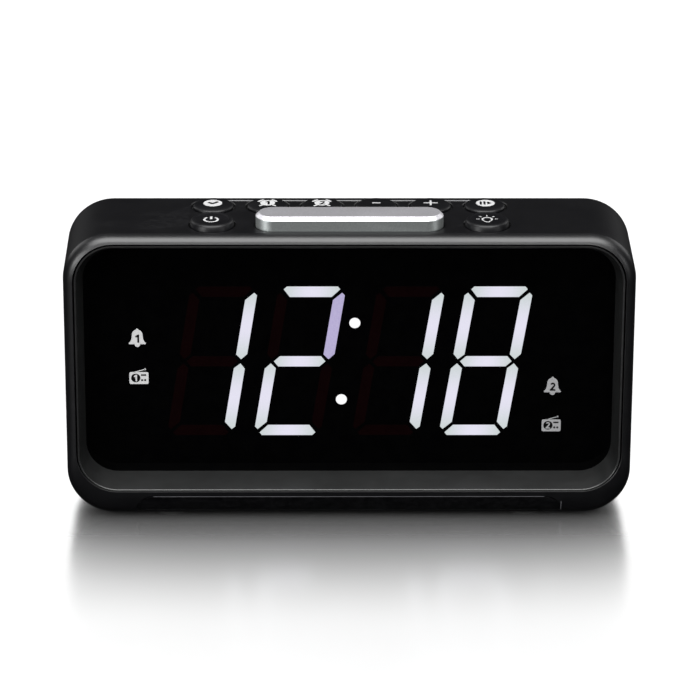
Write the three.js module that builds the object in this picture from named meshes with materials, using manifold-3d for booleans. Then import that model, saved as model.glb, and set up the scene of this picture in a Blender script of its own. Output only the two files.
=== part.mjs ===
// A slim bedside clock radio: front frame, cabinet sleeve and rear cover around a display,
// keys, boards, a speaker and backup cells. Millimetres, +Z up, the display faces -Y.
// Inside the cabinet group Y = 0 is the front rim and Z = 0 is the underside of the cabinet.
import * as THREE from "three";
import { mergeVertices } from "three/addons/utils/BufferGeometryUtils.js";
import Module from "manifold-3d";

const wasm = await Module();
wasm.setup();

// Driving dimensions
const bodyWidth = 136;
const bodyHeight = 72.2;
const bodyRadius = 11.5;
const totalDepth = 46;
const footHeight = 1;
const wall = 1.8;
const gap = 0.3;

// Cabinet: a sleeve whose front edge is a soft band round the opening for the front frame
const opening = { halfWidth: 65.6, low: 6.5, high: 70.2, radius: 9.8, front: 0.15, depth: 2.6 };
const band = { depth: 2.8, startAngle: 8, endAngle: 74, steps: 5 };
const innerFront = 4.6;
const cabinetBack = 28;
const rearFillet = 1.5;

// Front frame: a thin lip, a funnel down to the window and a pocket that holds the window
const lip = { halfWidth: 64.8, low: 7.3, high: 69.4, radius: 9, thickness: 0.5 };
const funnelTaper = 1.2;
const funnelTopTaper = 3;
const lensPlane = 8;
const lensThickness = 2;
const seatWidth = 0.7;
const pocketWall = 1;
const pocketFront = 5.4;
const pocketBack = lensPlane + lensThickness + gap;

// Rear cover: an edge plate inside the sleeve and a raised housing
const coverPlate = 2;
const coverBack = cabinetBack - gap;
const housing = { halfWidth: 58, low: 2.6, high: 60, radius: 9, taper: 2, edge: 2, wall: 1.8 };

// Keys: round buttons in two rows and the snooze bar, all sunk in shallow wells
const keyTravel = 0.8;
const wellDepth = 1.1;
const wellGap = 0.2;
const keySink = 0.2;
const keyPitch = 13.05;
const rearRowY = 21;
const frontRowX = 32.65;
const frontRowY = 8.5;
const frontStemY = 12.3;
const frontSwitchY = 12.9;
const stemRadius = 1.3;
const frontButton = { radius: 5.3, height: 1.4, shoulder: 4.85, crown: 1.6, plateau: 3.2 };
const rearButton = { radius: 4.85, height: 0.3, shoulder: 4.7, crown: 0.9, plateau: 3.4 };
const snooze = { halfWidth: 22.3, front: 3.85, back: 12.3, height: 3.4, chamfer: 0.85, radius: 4.2 };
const snoozeStem = { halfWidth: 5, front: 10.8, back: 12.1, footBack: 14, footHeight: 0.8 };

// Key board and its switches
const keyBoard = { halfWidth: 40, front: 10.6, back: 23.5, top: 65.2, thickness: 1.6 };
const keySwitch = { side: 4.2, height: 2.2, plungerRadius: 1.1, plungerHeight: 0.8, clearance: 0.1 };
const switchTop = keyBoard.top + keySwitch.height + keySwitch.plungerHeight;
const stemBottom = switchTop + keySwitch.clearance + keyTravel;

// Night light strip in the lower part of the band, with its window and board behind it
const strip = { halfWidth: 51.3, top: 5, depth: 1.9, radius: 3.9 };
const lightWindow = { halfWidth: 47, low: 1.2, high: 3.6 };
const lightBoard = { halfWidth: 45, low: 2.1, high: 5.9, front: 6.2, thickness: 1.2 };
const led = { places: [-30, -10, 10, 30], halfLength: 1.4, proud: 0.8, rise: 0.3, top: 1.9 };

// Display module, boards and the parts on them
const displayBlock = { width: 100, height: 46, front: 10.6, depth: 6.6, centreZ: 37.2 };
const boardThickness = 1.6;
const displayBoard = { width: 118, height: 50, front: 17.6, centreZ: 36 };
const mainBoard = { width: 112, height: 50, front: 23.2, centreZ: 35 };
const tunerShield = { width: 22, height: 18, depth: 2.6, x: 34, z: 46 };
const capacitor = { radius: 2.4, length: 9, x: 8, z: 50 };
const connector = { halfWidth: 9, height: 3, clearance: 0.3 };

// Speaker, cells and their door, all inside the rear housing
const speaker = { x: -29, z: 32, radius: 20, flange: 1.2, front: 31, back: 43.2 };
const magnet = { radius: 9.5, front: 25.6 };
const grille = { rows: 9, pitch: 3.6, slotHeight: 1.5, margin: 2.5 };
const cell = { radius: 5.15, length: 44.2, x: 27, lowZ: 14.2, pitch: 10.9, y: 36.5, nub: 0.8, tip: 1.8 };
const contact = { thickness: 0.6, height: 19, depth: 8, clearance: 0.4 };
const door = { halfWidth: 23.4, low: 8.6, high: 30.8, radius: 2.5 };
const latch = { width: 12, height: 2.4, depth: 0.8, below: 2 };
const label = { x: 16, z: 45, width: 24, height: 14, thickness: 0.35, sink: 0.5, glue: 0.05 };

// Rear sockets and fasteners
const jack = { x: 47, z: 45, side: 9, depth: 11, bore: 3.2, boreDepth: 9, pin: 1, pinRecess: 4.6, sink: 0.2 };
const antennaBush = { x: 34, z: 46, radius: 2.4, flange: 3.6, hole: 0.8, length: 4 };
const screw = { head: 2.3, headHeight: 0.9, seat: 1.2, shank: 1.2, length: 7, slot: 0.8, reach: 1.6 };
const screwPlaces = [[-50, 65], [50, 65], [-62, 14], [62, 14]];
const foot = { radius: 4.5, x: 43, frontY: 9, backY: 38.5 };

// Materials
const satinBlack = () => new THREE.MeshStandardMaterial({ color: 0x0b0b0c, roughness: 0.42 });
const smokedWindow = () => new THREE.MeshStandardMaterial({ color: 0x020203, roughness: 0.06 });
const smokedStrip = () => new THREE.MeshStandardMaterial({ color: 0x0a0a0c, roughness: 0.25 });
const silver = () => new THREE.MeshStandardMaterial({ color: 0xc4c4c6, roughness: 0.34, metalness: 0.6 });
const displayBlack = () => new THREE.MeshStandardMaterial({ color: 0x0a0909, roughness: 0.7 });
const boardGreen = () => new THREE.MeshStandardMaterial({ color: 0x17492b, roughness: 0.5 });
const switchBlack = () => new THREE.MeshStandardMaterial({ color: 0x1c1c1e, roughness: 0.5 });
const tinPlate = () => new THREE.MeshStandardMaterial({ color: 0xb9bcc0, roughness: 0.35, metalness: 1 });
const paperCone = () => new THREE.MeshStandardMaterial({ color: 0x1d1a18, roughness: 0.9 });
const ferrite = () => new THREE.MeshStandardMaterial({ color: 0x2b2b2e, roughness: 0.6 });
const cellJacket = () => new THREE.MeshStandardMaterial({ color: 0x4a4f57, roughness: 0.4 });
const rubber = () => new THREE.MeshStandardMaterial({ color: 0x141414, roughness: 0.85 });
const zincSteel = () => new THREE.MeshStandardMaterial({ color: 0x8f9296, roughness: 0.35, metalness: 1 });
const plateGrey = () => new THREE.MeshStandardMaterial({ color: 0xa9abae, roughness: 0.5 });

// Booleans: geometry in, geometry out
function solidOf(geometry) {
  const bare = geometry.clone();
  bare.deleteAttribute("normal");
  bare.deleteAttribute("uv");
  const merged = mergeVertices(bare, 1e-4);
  return new wasm.Manifold(
    new wasm.Mesh({
      numProp: 3,
      vertProperties: new Float32Array(merged.getAttribute("position").array),
      triVerts: new Uint32Array(merged.index.array),
    }),
  );
}

function geometryOf(solid) {
  const mesh = solid.getMesh();
  const geometry = new THREE.BufferGeometry();
  geometry.setAttribute("position", new THREE.BufferAttribute(mesh.vertProperties, 3));
  geometry.setIndex(new THREE.BufferAttribute(mesh.triVerts, 1));
  return geometry;
}

const joined = (first, ...rest) =>
  geometryOf(rest.reduce((solid, piece) => solid.add(solidOf(piece)), solidOf(first)));
const cut = (first, ...tools) =>
  geometryOf(tools.reduce((solid, tool) => solid.subtract(solidOf(tool)), solidOf(first)));
const common = (first, second) => geometryOf(solidOf(first).intersect(solidOf(second)));

// A rounded rectangle as [across, up] points, anticlockwise, from its lower right corner
function roundedOutline(halfWidth, low, high, radius, steps = 6) {
  const corners = [
    [halfWidth - radius, low + radius, -90],
    [halfWidth - radius, high - radius, 0],
    [-halfWidth + radius, high - radius, 90],
    [-halfWidth + radius, low + radius, 180],
  ];
  return corners.flatMap(([x, z, start]) =>
    Array.from({ length: steps + 1 }, (_, i) => {
      const angle = THREE.MathUtils.degToRad(start + (90 * i) / steps);
      return [x + radius * Math.cos(angle), z + radius * Math.sin(angle)];
    }),
  );
}

const uprightRing = (y, ...outline) => roundedOutline(...outline).map(([x, z]) => [x, y, z]);
const flatRing = (z, ...outline) => roundedOutline(...outline).map(([x, y]) => [x, y, z]);

// Skin over a list of rings with equal point counts; a closed list makes a frame, an open one is capped
function skin(rings, closed = false) {
  const count = rings[0].length;
  const index = [];
  const last = closed ? rings.length : rings.length - 1;
  for (let r = 0; r < last; r += 1) {
    const here = r * count;
    const next = ((r + 1) % rings.length) * count;
    for (let i = 0; i < count; i += 1) {
      const j = (i + 1) % count;
      index.push(here + i, next + i, here + j, here + j, next + i, next + j);
    }
  }
  if (!closed) {
    const end = (rings.length - 1) * count;
    for (let i = 1; i < count - 1; i += 1) {
      index.push(0, i, i + 1, end, end + i + 1, end + i);
    }
  }
  const geometry = new THREE.BufferGeometry();
  geometry.setAttribute("position", new THREE.Float32BufferAttribute(rings.flat(2), 3));
  geometry.setIndex(index);
  return geometry;
}

// Plain solids placed by their corners or axes
function block([x0, y0, z0], [x1, y1, z1]) {
  const geometry = new THREE.BoxGeometry(x1 - x0, y1 - y0, z1 - z0);
  return geometry.translate((x0 + x1) / 2, (y0 + y1) / 2, (z0 + z1) / 2);
}

function uprightPost(radius, x, y, bottom, top, sides = 20) {
  const geometry = new THREE.CylinderGeometry(radius, radius, top - bottom, sides);
  return geometry.rotateX(Math.PI / 2).translate(x, y, (bottom + top) / 2);
}

function rearwardRod(radius, x, z, front, back, sides = 20) {
  const geometry = new THREE.CylinderGeometry(radius, radius, back - front, sides);
  return geometry.translate(x, (front + back) / 2, z);
}

// A slab with rounded corners standing across the radio, from one depth to another
function uprightSlab(front, back, ...outline) {
  return skin([uprightRing(front, ...outline), uprightRing(back, ...outline)]);
}

// Revolved about +Z: the profile is [radius, height] points from the bottom up, on the axis at both ends
function turned(profile, sides = 28) {
  const points = profile.map(([radius, height]) => new THREE.Vector2(radius, height));
  return new THREE.LatheGeometry(points, sides).rotateX(Math.PI / 2);
}

const bodyOutline = (inset) =>
  [bodyWidth / 2 - inset, inset, bodyHeight - inset, bodyRadius - inset];

const mix = (from, to, share) => from + (to - from) * share;

// Front frame: the lip, the funnel inside it and the pocket that holds the window
const lipOutline = [lip.halfWidth, lip.low, lip.high, lip.radius];
const funnelOutline = [
  lip.halfWidth - funnelTaper,
  lip.low + funnelTaper,
  lip.high - funnelTopTaper,
  lip.radius - funnelTaper,
];

function grown([halfWidth, low, high, radius], by) {
  return [halfWidth + by, low - by, high + by, radius + by];
}

const lensOutline = grown(funnelOutline, seatWidth);

function frontFrame() {
  const pocket = grown(lensOutline, gap);
  const pocketOutside = grown(pocket, pocketWall);
  const lipOutside = grown(lipOutline, lip.thickness);
  return skin(
    [
      uprightRing(0, ...lipOutline),
      uprightRing(0, ...lipOutside),
      uprightRing(opening.depth, ...lipOutside),
      uprightRing(pocketFront, ...pocketOutside),
      uprightRing(pocketBack, ...pocketOutside),
      uprightRing(pocketBack, ...pocket),
      uprightRing(lensPlane, ...pocket),
      uprightRing(lensPlane, ...funnelOutline),
    ],
    true,
  );
}

function displayLens() {
  return uprightSlab(lensPlane, lensPlane + lensThickness, ...lensOutline);
}

// Cabinet sleeve, open at the back, with a soft band round its front and a fillet round its rear edge
function bandRing(step) {
  const { depth, startAngle, endAngle, steps } = band;
  const turn = (degrees) => THREE.MathUtils.degToRad(degrees);
  const angle = turn(mix(startAngle, endAngle, step / steps));
  const share = (curve) => {
    const from = curve(turn(startAngle));
    return (curve(angle) - from) / (curve(turn(endAngle)) - from);
  };
  const across = share(Math.sin);
  const back = share(Math.cos);
  return uprightRing(
    mix(opening.front, depth, back),
    mix(opening.halfWidth, bodyWidth / 2, across),
    mix(opening.low, 0, across),
    mix(opening.high, bodyHeight, across),
    mix(opening.radius, bodyRadius, across),
  );
}

function cabinetBlank() {
  const bandRings = Array.from({ length: band.steps + 1 }, (_, step) => bandRing(step));
  const filletRings = [0, 30, 60, 90].map((degrees) => {
    const angle = THREE.MathUtils.degToRad(degrees);
    const y = cabinetBack - rearFillet * (1 - Math.sin(angle));
    return uprightRing(y, ...bodyOutline(rearFillet * (1 - Math.cos(angle))));
  });
  const openingOutline = [opening.halfWidth, opening.low, opening.high, opening.radius];
  return skin(
    [
      ...bandRings,
      ...filletRings,
      uprightRing(cabinetBack, ...bodyOutline(wall)),
      uprightRing(innerFront, ...bodyOutline(wall)),
      uprightRing(opening.depth, ...openingOutline),
    ],
    true,
  );
}

function stripBlock(extra) {
  const radius = strip.radius + extra;
  const top = strip.top + extra;
  return uprightSlab(-1, strip.depth + extra, strip.halfWidth + extra, -2 * radius, top, radius);
}

const nightLightLens = () => common(cabinetBlank(), stripBlock(0));

function cabinet() {
  const { halfWidth, low, high } = lightWindow;
  const window = block([-halfWidth, strip.depth, low], [halfWidth, lensPlane, high]);
  return cut(cabinetBlank(), ...wellTools(), stripBlock(gap), window);
}

// Keys: a turned cap and a stem that reaches down to its switch
function buttonCap({ radius, height, shoulder, crown, plateau }) {
  return turned([
    [0, -keySink],
    [radius, -keySink],
    [radius, 0],
    [shoulder, height],
    [plateau, crown],
    [0, crown],
  ]);
}

function button(shape, x, y, stemY) {
  const cap = buttonCap(shape).translate(x, y, bodyHeight);
  return joined(cap, uprightPost(stemRadius, x, stemY, stemBottom, bodyHeight, 12));
}

function snoozeBar() {
  const { halfWidth, front, back, height, chamfer, radius } = snooze;
  const ring = (z, inset) =>
    flatRing(bodyHeight + z, halfWidth - inset, front + inset, back - inset, radius - inset);
  const bar = skin([ring(height, chamfer), ring(height - chamfer, 0), ring(-keySink, 0)]);
  const stem = snoozeStem;
  const corner = [-stem.halfWidth, stem.front, stemBottom];
  return joined(
    bar,
    block(corner, [stem.halfWidth, stem.back, bodyHeight]),
    block(corner, [stem.halfWidth, stem.footBack, stemBottom + stem.footHeight]),
  );
}

function wellTools() {
  const floor = bodyHeight - wellDepth;
  const above = bodyHeight + 1;
  const below = bodyHeight - wall - 1;
  const tools = keys.flatMap(({ shape, x, y, stemY }) => [
    uprightPost(shape.radius + wellGap, x, y, floor, above, 28),
    uprightPost(stemRadius + gap, x, stemY, below, above, 12),
  ]);
  const { halfWidth, front, back, radius } = snooze;
  const ring = (z) => flatRing(z, halfWidth + wellGap, front - wellGap, back + wellGap, radius);
  const stem = snoozeStem;
  const slotHalf = stem.halfWidth + gap;
  tools.push(
    skin([ring(above), ring(floor)]),
    block([-slotHalf, stem.front - gap, below], [slotHalf, stem.back + gap, above]),
  );
  return tools;
}

const frontKey = { shape: frontButton, y: frontRowY, stemY: frontStemY, switchY: frontSwitchY };
const rearKey = { shape: rearButton, y: rearRowY, stemY: rearRowY, switchY: rearRowY };
const rearKeyNames = ["clock", "alarm_1", "alarm_2", "minus", "plus", "play"];
const keys = [
  { name: "power", x: -frontRowX, ...frontKey },
  { name: "light", x: frontRowX, ...frontKey },
  ...rearKeyNames.map((name, i) => ({
    name,
    x: keyPitch * (i - (rearKeyNames.length - 1) / 2),
    ...rearKey,
  })),
];

function tactSwitch(x, y) {
  const { side, height, plungerRadius, plungerHeight } = keySwitch;
  const { top } = keyBoard;
  return joined(
    block([x - side / 2, y - side / 2, top], [x + side / 2, y + side / 2, top + height]),
    uprightPost(plungerRadius, x, y, top + height / 2, top + height + plungerHeight, 12),
  );
}

// Rear cover: an edge plate inside the sleeve and a raised housing behind it
function coverShell() {
  const { halfWidth, low, high, radius, taper, edge } = housing;
  const thick = housing.wall;
  const ring = (y, inset, lift) =>
    uprightRing(y, halfWidth - inset, low + lift, high - inset, radius - lift / 2);
  const plateFront = coverBack - coverPlate;
  return skin([
    ring(totalDepth - thick, taper + thick, thick),
    ring(plateFront, thick, thick),
    uprightRing(plateFront, ...bodyOutline(wall + gap)),
    uprightRing(coverBack, ...bodyOutline(wall + gap)),
    ring(coverBack, 0, 0),
    ring(totalDepth - edge, taper, 0),
    ring(totalDepth - edge * 0.3, taper + edge * 0.3, edge * 0.3),
    ring(totalDepth, taper + edge, edge),
  ]);
}

function grilleSlots() {
  const middle = (grille.rows - 1) / 2;
  return Array.from({ length: grille.rows }, (_, row) => {
    const offset = (row - middle) * grille.pitch;
    const halfLength = Math.sqrt(speaker.radius ** 2 - offset ** 2) - grille.margin;
    const z = speaker.z + offset;
    return block(
      [speaker.x - halfLength, totalDepth - housing.wall - 1, z - grille.slotHeight / 2],
      [speaker.x + halfLength, totalDepth + 1, z + grille.slotHeight / 2],
    );
  });
}

function doorSlab(front, back, extra) {
  const { halfWidth, low, high, radius } = door;
  return uprightSlab(front, back, halfWidth + extra, low - extra, high + extra, radius + extra)
    .translate(cell.x, 0, 0);
}

function rearCover() {
  const { taper, edge } = housing;
  const screwHoles = screwPlaces.flatMap(([x, z]) => [
    rearwardRod(screw.shank + gap, x, z, coverBack - coverPlate - 1, coverBack + 1, 16),
    rearwardRod(screw.head + gap, x, z, coverBack - screw.seat, coverBack + 1, 16),
  ]);
  const half = jack.side / 2 + gap;
  const back = totalDepth + 1;
  const inside = totalDepth - housing.wall - taper - edge;
  return cut(
    coverShell(),
    ...grilleSlots(),
    ...screwHoles,
    labelPlate(gap, totalDepth - label.sink, back),
    doorSlab(inside, back, gap),
    block([jack.x - half, inside, jack.z - half], [jack.x + half, back, jack.z + half]),
    rearwardRod(antennaBush.radius + gap, antennaBush.x, antennaBush.z, inside, back),
  );
}

function batteryDoor() {
  const back = totalDepth;
  const slab = doorSlab(back - housing.wall, back, 0);
  const top = door.high - latch.below;
  const grip = block(
    [cell.x - latch.width / 2, back - latch.depth, top - latch.height],
    [cell.x + latch.width / 2, back + 1, top],
  );
  return cut(slab, grip);
}

// Speaker, revolved about its own axis, which runs front to back
function speakerTurned(profile, sides = 32) {
  const points = profile.map(([radius, y]) => new THREE.Vector2(radius, y));
  return new THREE.LatheGeometry(points, sides).translate(speaker.x, 0, speaker.z);
}

function speakerFrame() {
  const { radius, flange, front, back } = speaker;
  return speakerTurned([
    [3, front],
    [magnet.radius, front],
    [radius - 3, back - flange - 1],
    [radius, back - flange],
    [radius, back],
    [radius - 3.2, back],
    [radius - 4.6, back - 2],
    [magnet.radius - 1, front + 1.2],
    [3, front + 1.2],
    [3, front],
  ]);
}

function speakerCone() {
  const { radius, front, back } = speaker;
  const rim = radius - 3.8;
  return speakerTurned([
    [0, front + 4.5],
    [4, front + 3.5],
    [rim, back - 0.8],
    [rim, back],
    [4.4, front + 5],
    [0, front + 6],
  ]);
}

const speakerMagnet = () =>
  rearwardRod(magnet.radius, speaker.x, speaker.z, magnet.front, speaker.front - gap, 28);

function backupCell(index) {
  const { radius, length, x, lowZ, pitch, y, nub, tip } = cell;
  const body = new THREE.CylinderGeometry(radius, radius, length - nub, 20);
  const core = new THREE.CylinderGeometry(tip, tip, length, 12).translate(0, nub / 2, 0);
  const turn = index % 2 === 0 ? Math.PI / 2 : -Math.PI / 2;
  return joined(body, core).rotateZ(turn).translate(x, y, lowZ + pitch * index);
}

function batteryContact(side) {
  const { thickness, height, depth, clearance } = contact;
  const x = cell.x + side * (cell.length / 2 + clearance + thickness);
  const z = cell.lowZ + cell.pitch / 2;
  return block(
    [x - thickness / 2, cell.y - depth / 2, z - height / 2],
    [x + thickness / 2, cell.y + depth / 2, z + height / 2],
  );
}

// Boards and what is on them
function board({ width, height, front, centreZ }) {
  return block(
    [-width / 2, front, centreZ - height / 2],
    [width / 2, front + boardThickness, centreZ + height / 2],
  );
}

function displayModule() {
  const { width, height, front, depth, centreZ } = displayBlock;
  return block([-width / 2, front, centreZ - height / 2], [width / 2, front + depth, centreZ + height / 2]);
}

function keyBoardPlate() {
  const { halfWidth, front, back, top, thickness } = keyBoard;
  return block([-halfWidth, front, top - thickness], [halfWidth, back, top]);
}

function nightLightBoard() {
  const { halfWidth, low, high, front, thickness } = lightBoard;
  const plate = block([-halfWidth, front, low], [halfWidth, front + thickness, high]);
  const { places, halfLength, proud, rise, top } = led;
  const lamps = places.map((x) =>
    block([x - halfLength, front - proud, low + rise], [x + halfLength, front + thickness / 2, low + top]),
  );
  return joined(plate, ...lamps);
}

function tunerCan() {
  const { width, height, depth, x, z } = tunerShield;
  const front = mainBoard.front + boardThickness;
  return block([x - width / 2, front, z - height / 2], [x + width / 2, front + depth, z + height / 2]);
}

function supplyCapacitor() {
  const { radius, length, x, z } = capacitor;
  const y = mainBoard.front + boardThickness + radius + gap;
  return new THREE.CylinderGeometry(radius, radius, length, 16).rotateZ(Math.PI / 2).translate(x, y, z);
}

function displayConnector() {
  const { halfWidth, height, clearance } = connector;
  const low = displayBoard.centreZ - displayBoard.height / 2 + height;
  const front = displayBoard.front + boardThickness + clearance;
  return block([-halfWidth, front, low], [halfWidth, mainBoard.front - clearance, low + height]);
}

function keyConnector() {
  const { halfWidth, height, clearance } = connector;
  const top = keyBoard.top - keyBoard.thickness - clearance;
  const back = mainBoard.front - clearance;
  return block([-halfWidth, back - height, top - 2.5 * height], [halfWidth, back, top]);
}

// Rear sockets, fasteners and feet
function inletJack() {
  const { x, z, side, depth, bore, boreDepth, pin, pinRecess, sink } = jack;
  const back = totalDepth - sink;
  const body = block([x - side / 2, back - depth, z - side / 2], [x + side / 2, back, z + side / 2]);
  const barrel = rearwardRod(bore, x, z, back - boreDepth, back + 1);
  const post = rearwardRod(pin, x, z, back - boreDepth - 1, totalDepth - pinRecess, 12);
  return joined(cut(body, barrel), post);
}

function antennaSleeve() {
  const { x, z, radius, flange, hole, length } = antennaBush;
  const front = totalDepth - length;
  const body = joined(
    rearwardRod(radius, x, z, front, totalDepth),
    rearwardRod(flange, x, z, front, totalDepth - housing.wall - gap),
  );
  return cut(body, rearwardRod(hole, x, z, front - 1, totalDepth + 1, 12));
}

function rearScrew([x, z]) {
  const { head, headHeight, shank, length, slot, reach } = screw;
  const back = coverBack;
  const body = joined(
    rearwardRod(head, x, z, back - headHeight, back, 16),
    rearwardRod(shank, x, z, back - length, back - headHeight / 2, 12),
  );
  const slotFront = back - headHeight / 2;
  const across = block([x - reach, slotFront, z - slot / 2], [x + reach, back + 1, z + slot / 2]);
  const upright = block([x - slot / 2, slotFront, z - reach], [x + slot / 2, back + 1, z + reach]);
  return cut(body, across, upright);
}

function labelPlate(extra, front, back) {
  const { x, z, width, height } = label;
  const halfWidth = width / 2 + extra;
  const halfHeight = height / 2 + extra;
  return block([x - halfWidth, front, z - halfHeight], [x + halfWidth, back, z + halfHeight]);
}

function blankLabel() {
  const front = totalDepth - label.sink + label.glue;
  return labelPlate(0, front, front + label.thickness);
}

const rubberFoot = (x, y, top) => uprightPost(foot.radius, x, y, -footHeight, top, 24);

// The scene graph: everything sits in one group whose origin is under the middle of the radio
const clockRadio = new THREE.Group();
const cabinetGroup = new THREE.Group();
cabinetGroup.position.set(0, -totalDepth / 2, footHeight);
clockRadio.add(cabinetGroup);

function place(name, geometry, material) {
  const mesh = new THREE.Mesh(geometry, material);
  mesh.name = name;
  cabinetGroup.add(mesh);
}

place("front_frame", frontFrame(), satinBlack());
place("cabinet", cabinet(), satinBlack());
place("rear_cover", rearCover(), satinBlack());
place("display_lens", displayLens(), smokedWindow());
place("night_light_lens", nightLightLens(), smokedStrip());
place("snooze_bar", snoozeBar(), silver());
keys.forEach(({ name, shape, x, y, stemY, switchY }) => {
  place(name + "_button", button(shape, x, y, stemY), satinBlack());
  place(name + "_switch", tactSwitch(x, switchY), switchBlack());
});
place("snooze_switch", tactSwitch(0, frontSwitchY), switchBlack());

place("display_module", displayModule(), displayBlack());
place("display_board", board(displayBoard), boardGreen());
place("main_board", board(mainBoard), boardGreen());
place("key_board", keyBoardPlate(), boardGreen());
place("night_light_board", nightLightBoard(), boardGreen());
place("tuner_shield", tunerCan(), tinPlate());
place("supply_capacitor", supplyCapacitor(), switchBlack());
place("display_connector", displayConnector(), switchBlack());
place("key_connector", keyConnector(), switchBlack());

place("speaker_frame", speakerFrame(), tinPlate());
place("speaker_cone", speakerCone(), paperCone());
place("speaker_magnet", speakerMagnet(), ferrite());
[0, 1].forEach((index) => place("backup_cell_" + (index + 1), backupCell(index), cellJacket()));
place("battery_contact_left", batteryContact(-1), zincSteel());
place("battery_contact_right", batteryContact(1), zincSteel());
place("battery_door", batteryDoor(), satinBlack());

place("power_inlet", inletJack(), switchBlack());
place("blank_label", blankLabel(), plateGrey());
place("antenna_bush", antennaSleeve(), rubber());
screwPlaces.forEach((spot, i) => place("rear_screw_" + (i + 1), rearScrew(spot), zincSteel()));
[[-1, "left"], [1, "right"]].forEach(([side, word]) => {
  place("front_foot_" + word, rubberFoot(side * foot.x, foot.frontY, 0), rubber());
  place("rear_foot_" + word, rubberFoot(side * foot.x, foot.backY, housing.low), rubber());
});

export default clockRadio;
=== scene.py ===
from math import asin, cos, hypot, pi, radians, sin, sqrt

import bmesh
import bpy
from mathutils import Matrix, Vector


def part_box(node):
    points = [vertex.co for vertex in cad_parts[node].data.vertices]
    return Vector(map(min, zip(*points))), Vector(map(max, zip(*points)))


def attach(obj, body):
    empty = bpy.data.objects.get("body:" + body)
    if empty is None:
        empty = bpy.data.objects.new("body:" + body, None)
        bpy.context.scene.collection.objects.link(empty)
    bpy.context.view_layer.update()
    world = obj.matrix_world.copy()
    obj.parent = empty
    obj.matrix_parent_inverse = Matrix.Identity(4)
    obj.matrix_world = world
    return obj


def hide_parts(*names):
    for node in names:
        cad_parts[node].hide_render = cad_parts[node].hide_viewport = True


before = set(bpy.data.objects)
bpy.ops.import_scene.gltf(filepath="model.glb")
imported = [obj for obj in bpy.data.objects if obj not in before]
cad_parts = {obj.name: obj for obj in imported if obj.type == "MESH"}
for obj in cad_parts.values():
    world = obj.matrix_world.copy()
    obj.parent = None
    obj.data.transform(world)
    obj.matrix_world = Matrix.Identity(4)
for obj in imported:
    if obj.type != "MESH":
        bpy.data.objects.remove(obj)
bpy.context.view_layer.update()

# Sizes below are millimetres in the cabinet's own frame:
# y runs back from the front rim, z up from the underside
mm = 0.001
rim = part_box("front_frame")[0]
underside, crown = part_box("cabinet")
corner = Vector((0.0, rim.y, underside.z))
radio = {
    "halfWidth": crown.x / mm,
    "height": (crown.z - underside.z) / mm,
    "radius": 11.5,
    "sleeveBack": (crown.y - rim.y) / mm,
    "back": (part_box("rear_cover")[1].y - rim.y) / mm,
    "cornerSteps": 20,
}


def spot(x, y, z):
    return corner + Vector((x, y, z)) * mm


def mixed(start, end, share):
    return start + (end - start) * share


# Mesh helpers

def makePiece(name, points, faces, layers=()):
    mesh = bpy.data.meshes.new(name)
    mesh.from_pydata([spot(*point) for point in points], [], faces)
    for label, values in layers:
        mesh.attributes.new(label, "FLOAT", "POINT").data.foreach_set("value", values)
    work = bmesh.new()
    work.from_mesh(mesh)
    bmesh.ops.remove_doubles(work, verts=work.verts, dist=1e-7)
    bmesh.ops.recalc_face_normals(work, faces=work.faces)
    work.to_mesh(mesh)
    work.free()
    piece = bpy.data.objects.new(name, mesh)
    bpy.context.scene.collection.objects.link(piece)
    return piece


# An outline is given by its half width, low edge, high edge and corner radius
def roundedOutline(halfWidth, low, high, radius, steps=None):
    count = steps or radio["cornerSteps"]
    centres = (
        (halfWidth - radius, low + radius, -90),
        (halfWidth - radius, high - radius, 0),
        (radius - halfWidth, high - radius, 90),
        (radius - halfWidth, low + radius, 180),
    )
    points = []
    for x, z, start in centres:
        for i in range(count + 1):
            angle = radians(start + 90 * i / count)
            points.append((x + radius * cos(angle), z + radius * sin(angle)))
    return points


def uprightRing(y, outline, x=0.0):
    return [(x + across, y, up) for across, up in outline]


def flatRing(z, outline, x=0.0, y=0.0):
    return [(x + across, y + back, z) for across, back in outline]


def uprightRings(stations, steps=None):
    return [uprightRing(y, roundedOutline(*outline, steps)) for y, outline in stations]


def grown(outline, by):
    halfWidth, low, high, radius = outline
    return (halfWidth + by, low - by, high + by, radius + by)


def blended(first, second, share):
    return tuple(mixed(a, b, share) for a, b in zip(first, second))


def loft(name, rings, closed=False):
    count = len(rings[0])
    points = [point for ring in rings for point in ring]
    faces = []
    for r in range(len(rings) if closed else len(rings) - 1):
        here = r * count
        there = (r + 1) % len(rings) * count
        for i in range(count):
            j = (i + 1) % count
            faces.append((here + i, there + i, there + j, here + j))
    if not closed:
        faces.append(tuple(range(count)))
        faces.append(tuple(range(len(points) - count, len(points))))
    return makePiece(name, points, faces)


# Revolved about an upright axis, or about one that runs front to back
def turned(name, profile, x, depth, z, upright=True, sides=72):
    rings = []
    for radius, along in profile:
        ring = []
        for i in range(sides):
            angle = 2 * pi * i / sides
            across, up = radius * cos(angle), radius * sin(angle)
            back, rise = (up, along) if upright else (along, up)
            ring.append((x + across, depth + back, z + rise))
        rings.append(ring)
    return loft(name, rings)


def rod(name, radius, x, z, front, back, sides=48):
    profile = [(0.0, front), (radius, front), (radius, back), (0.0, back)]
    return turned(name, profile, x, 0.0, z, upright=False, sides=sides)


def boxPiece(name, low, high):
    points = [(x, y, z) for x in (low[0], high[0]) for y in (low[1], high[1]) for z in (low[2], high[2])]
    faces = [(0, 1, 3, 2), (4, 6, 7, 5), (0, 4, 5, 1), (2, 3, 7, 6), (0, 2, 6, 4), (1, 5, 7, 3)]
    return makePiece(name, points, faces)


def settleModifiers(piece):
    graph = bpy.context.evaluated_depsgraph_get()
    finished = bpy.data.meshes.new_from_object(piece.evaluated_get(graph))
    before = piece.data
    piece.modifiers.clear()
    piece.data = finished
    bpy.data.meshes.remove(before)


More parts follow.
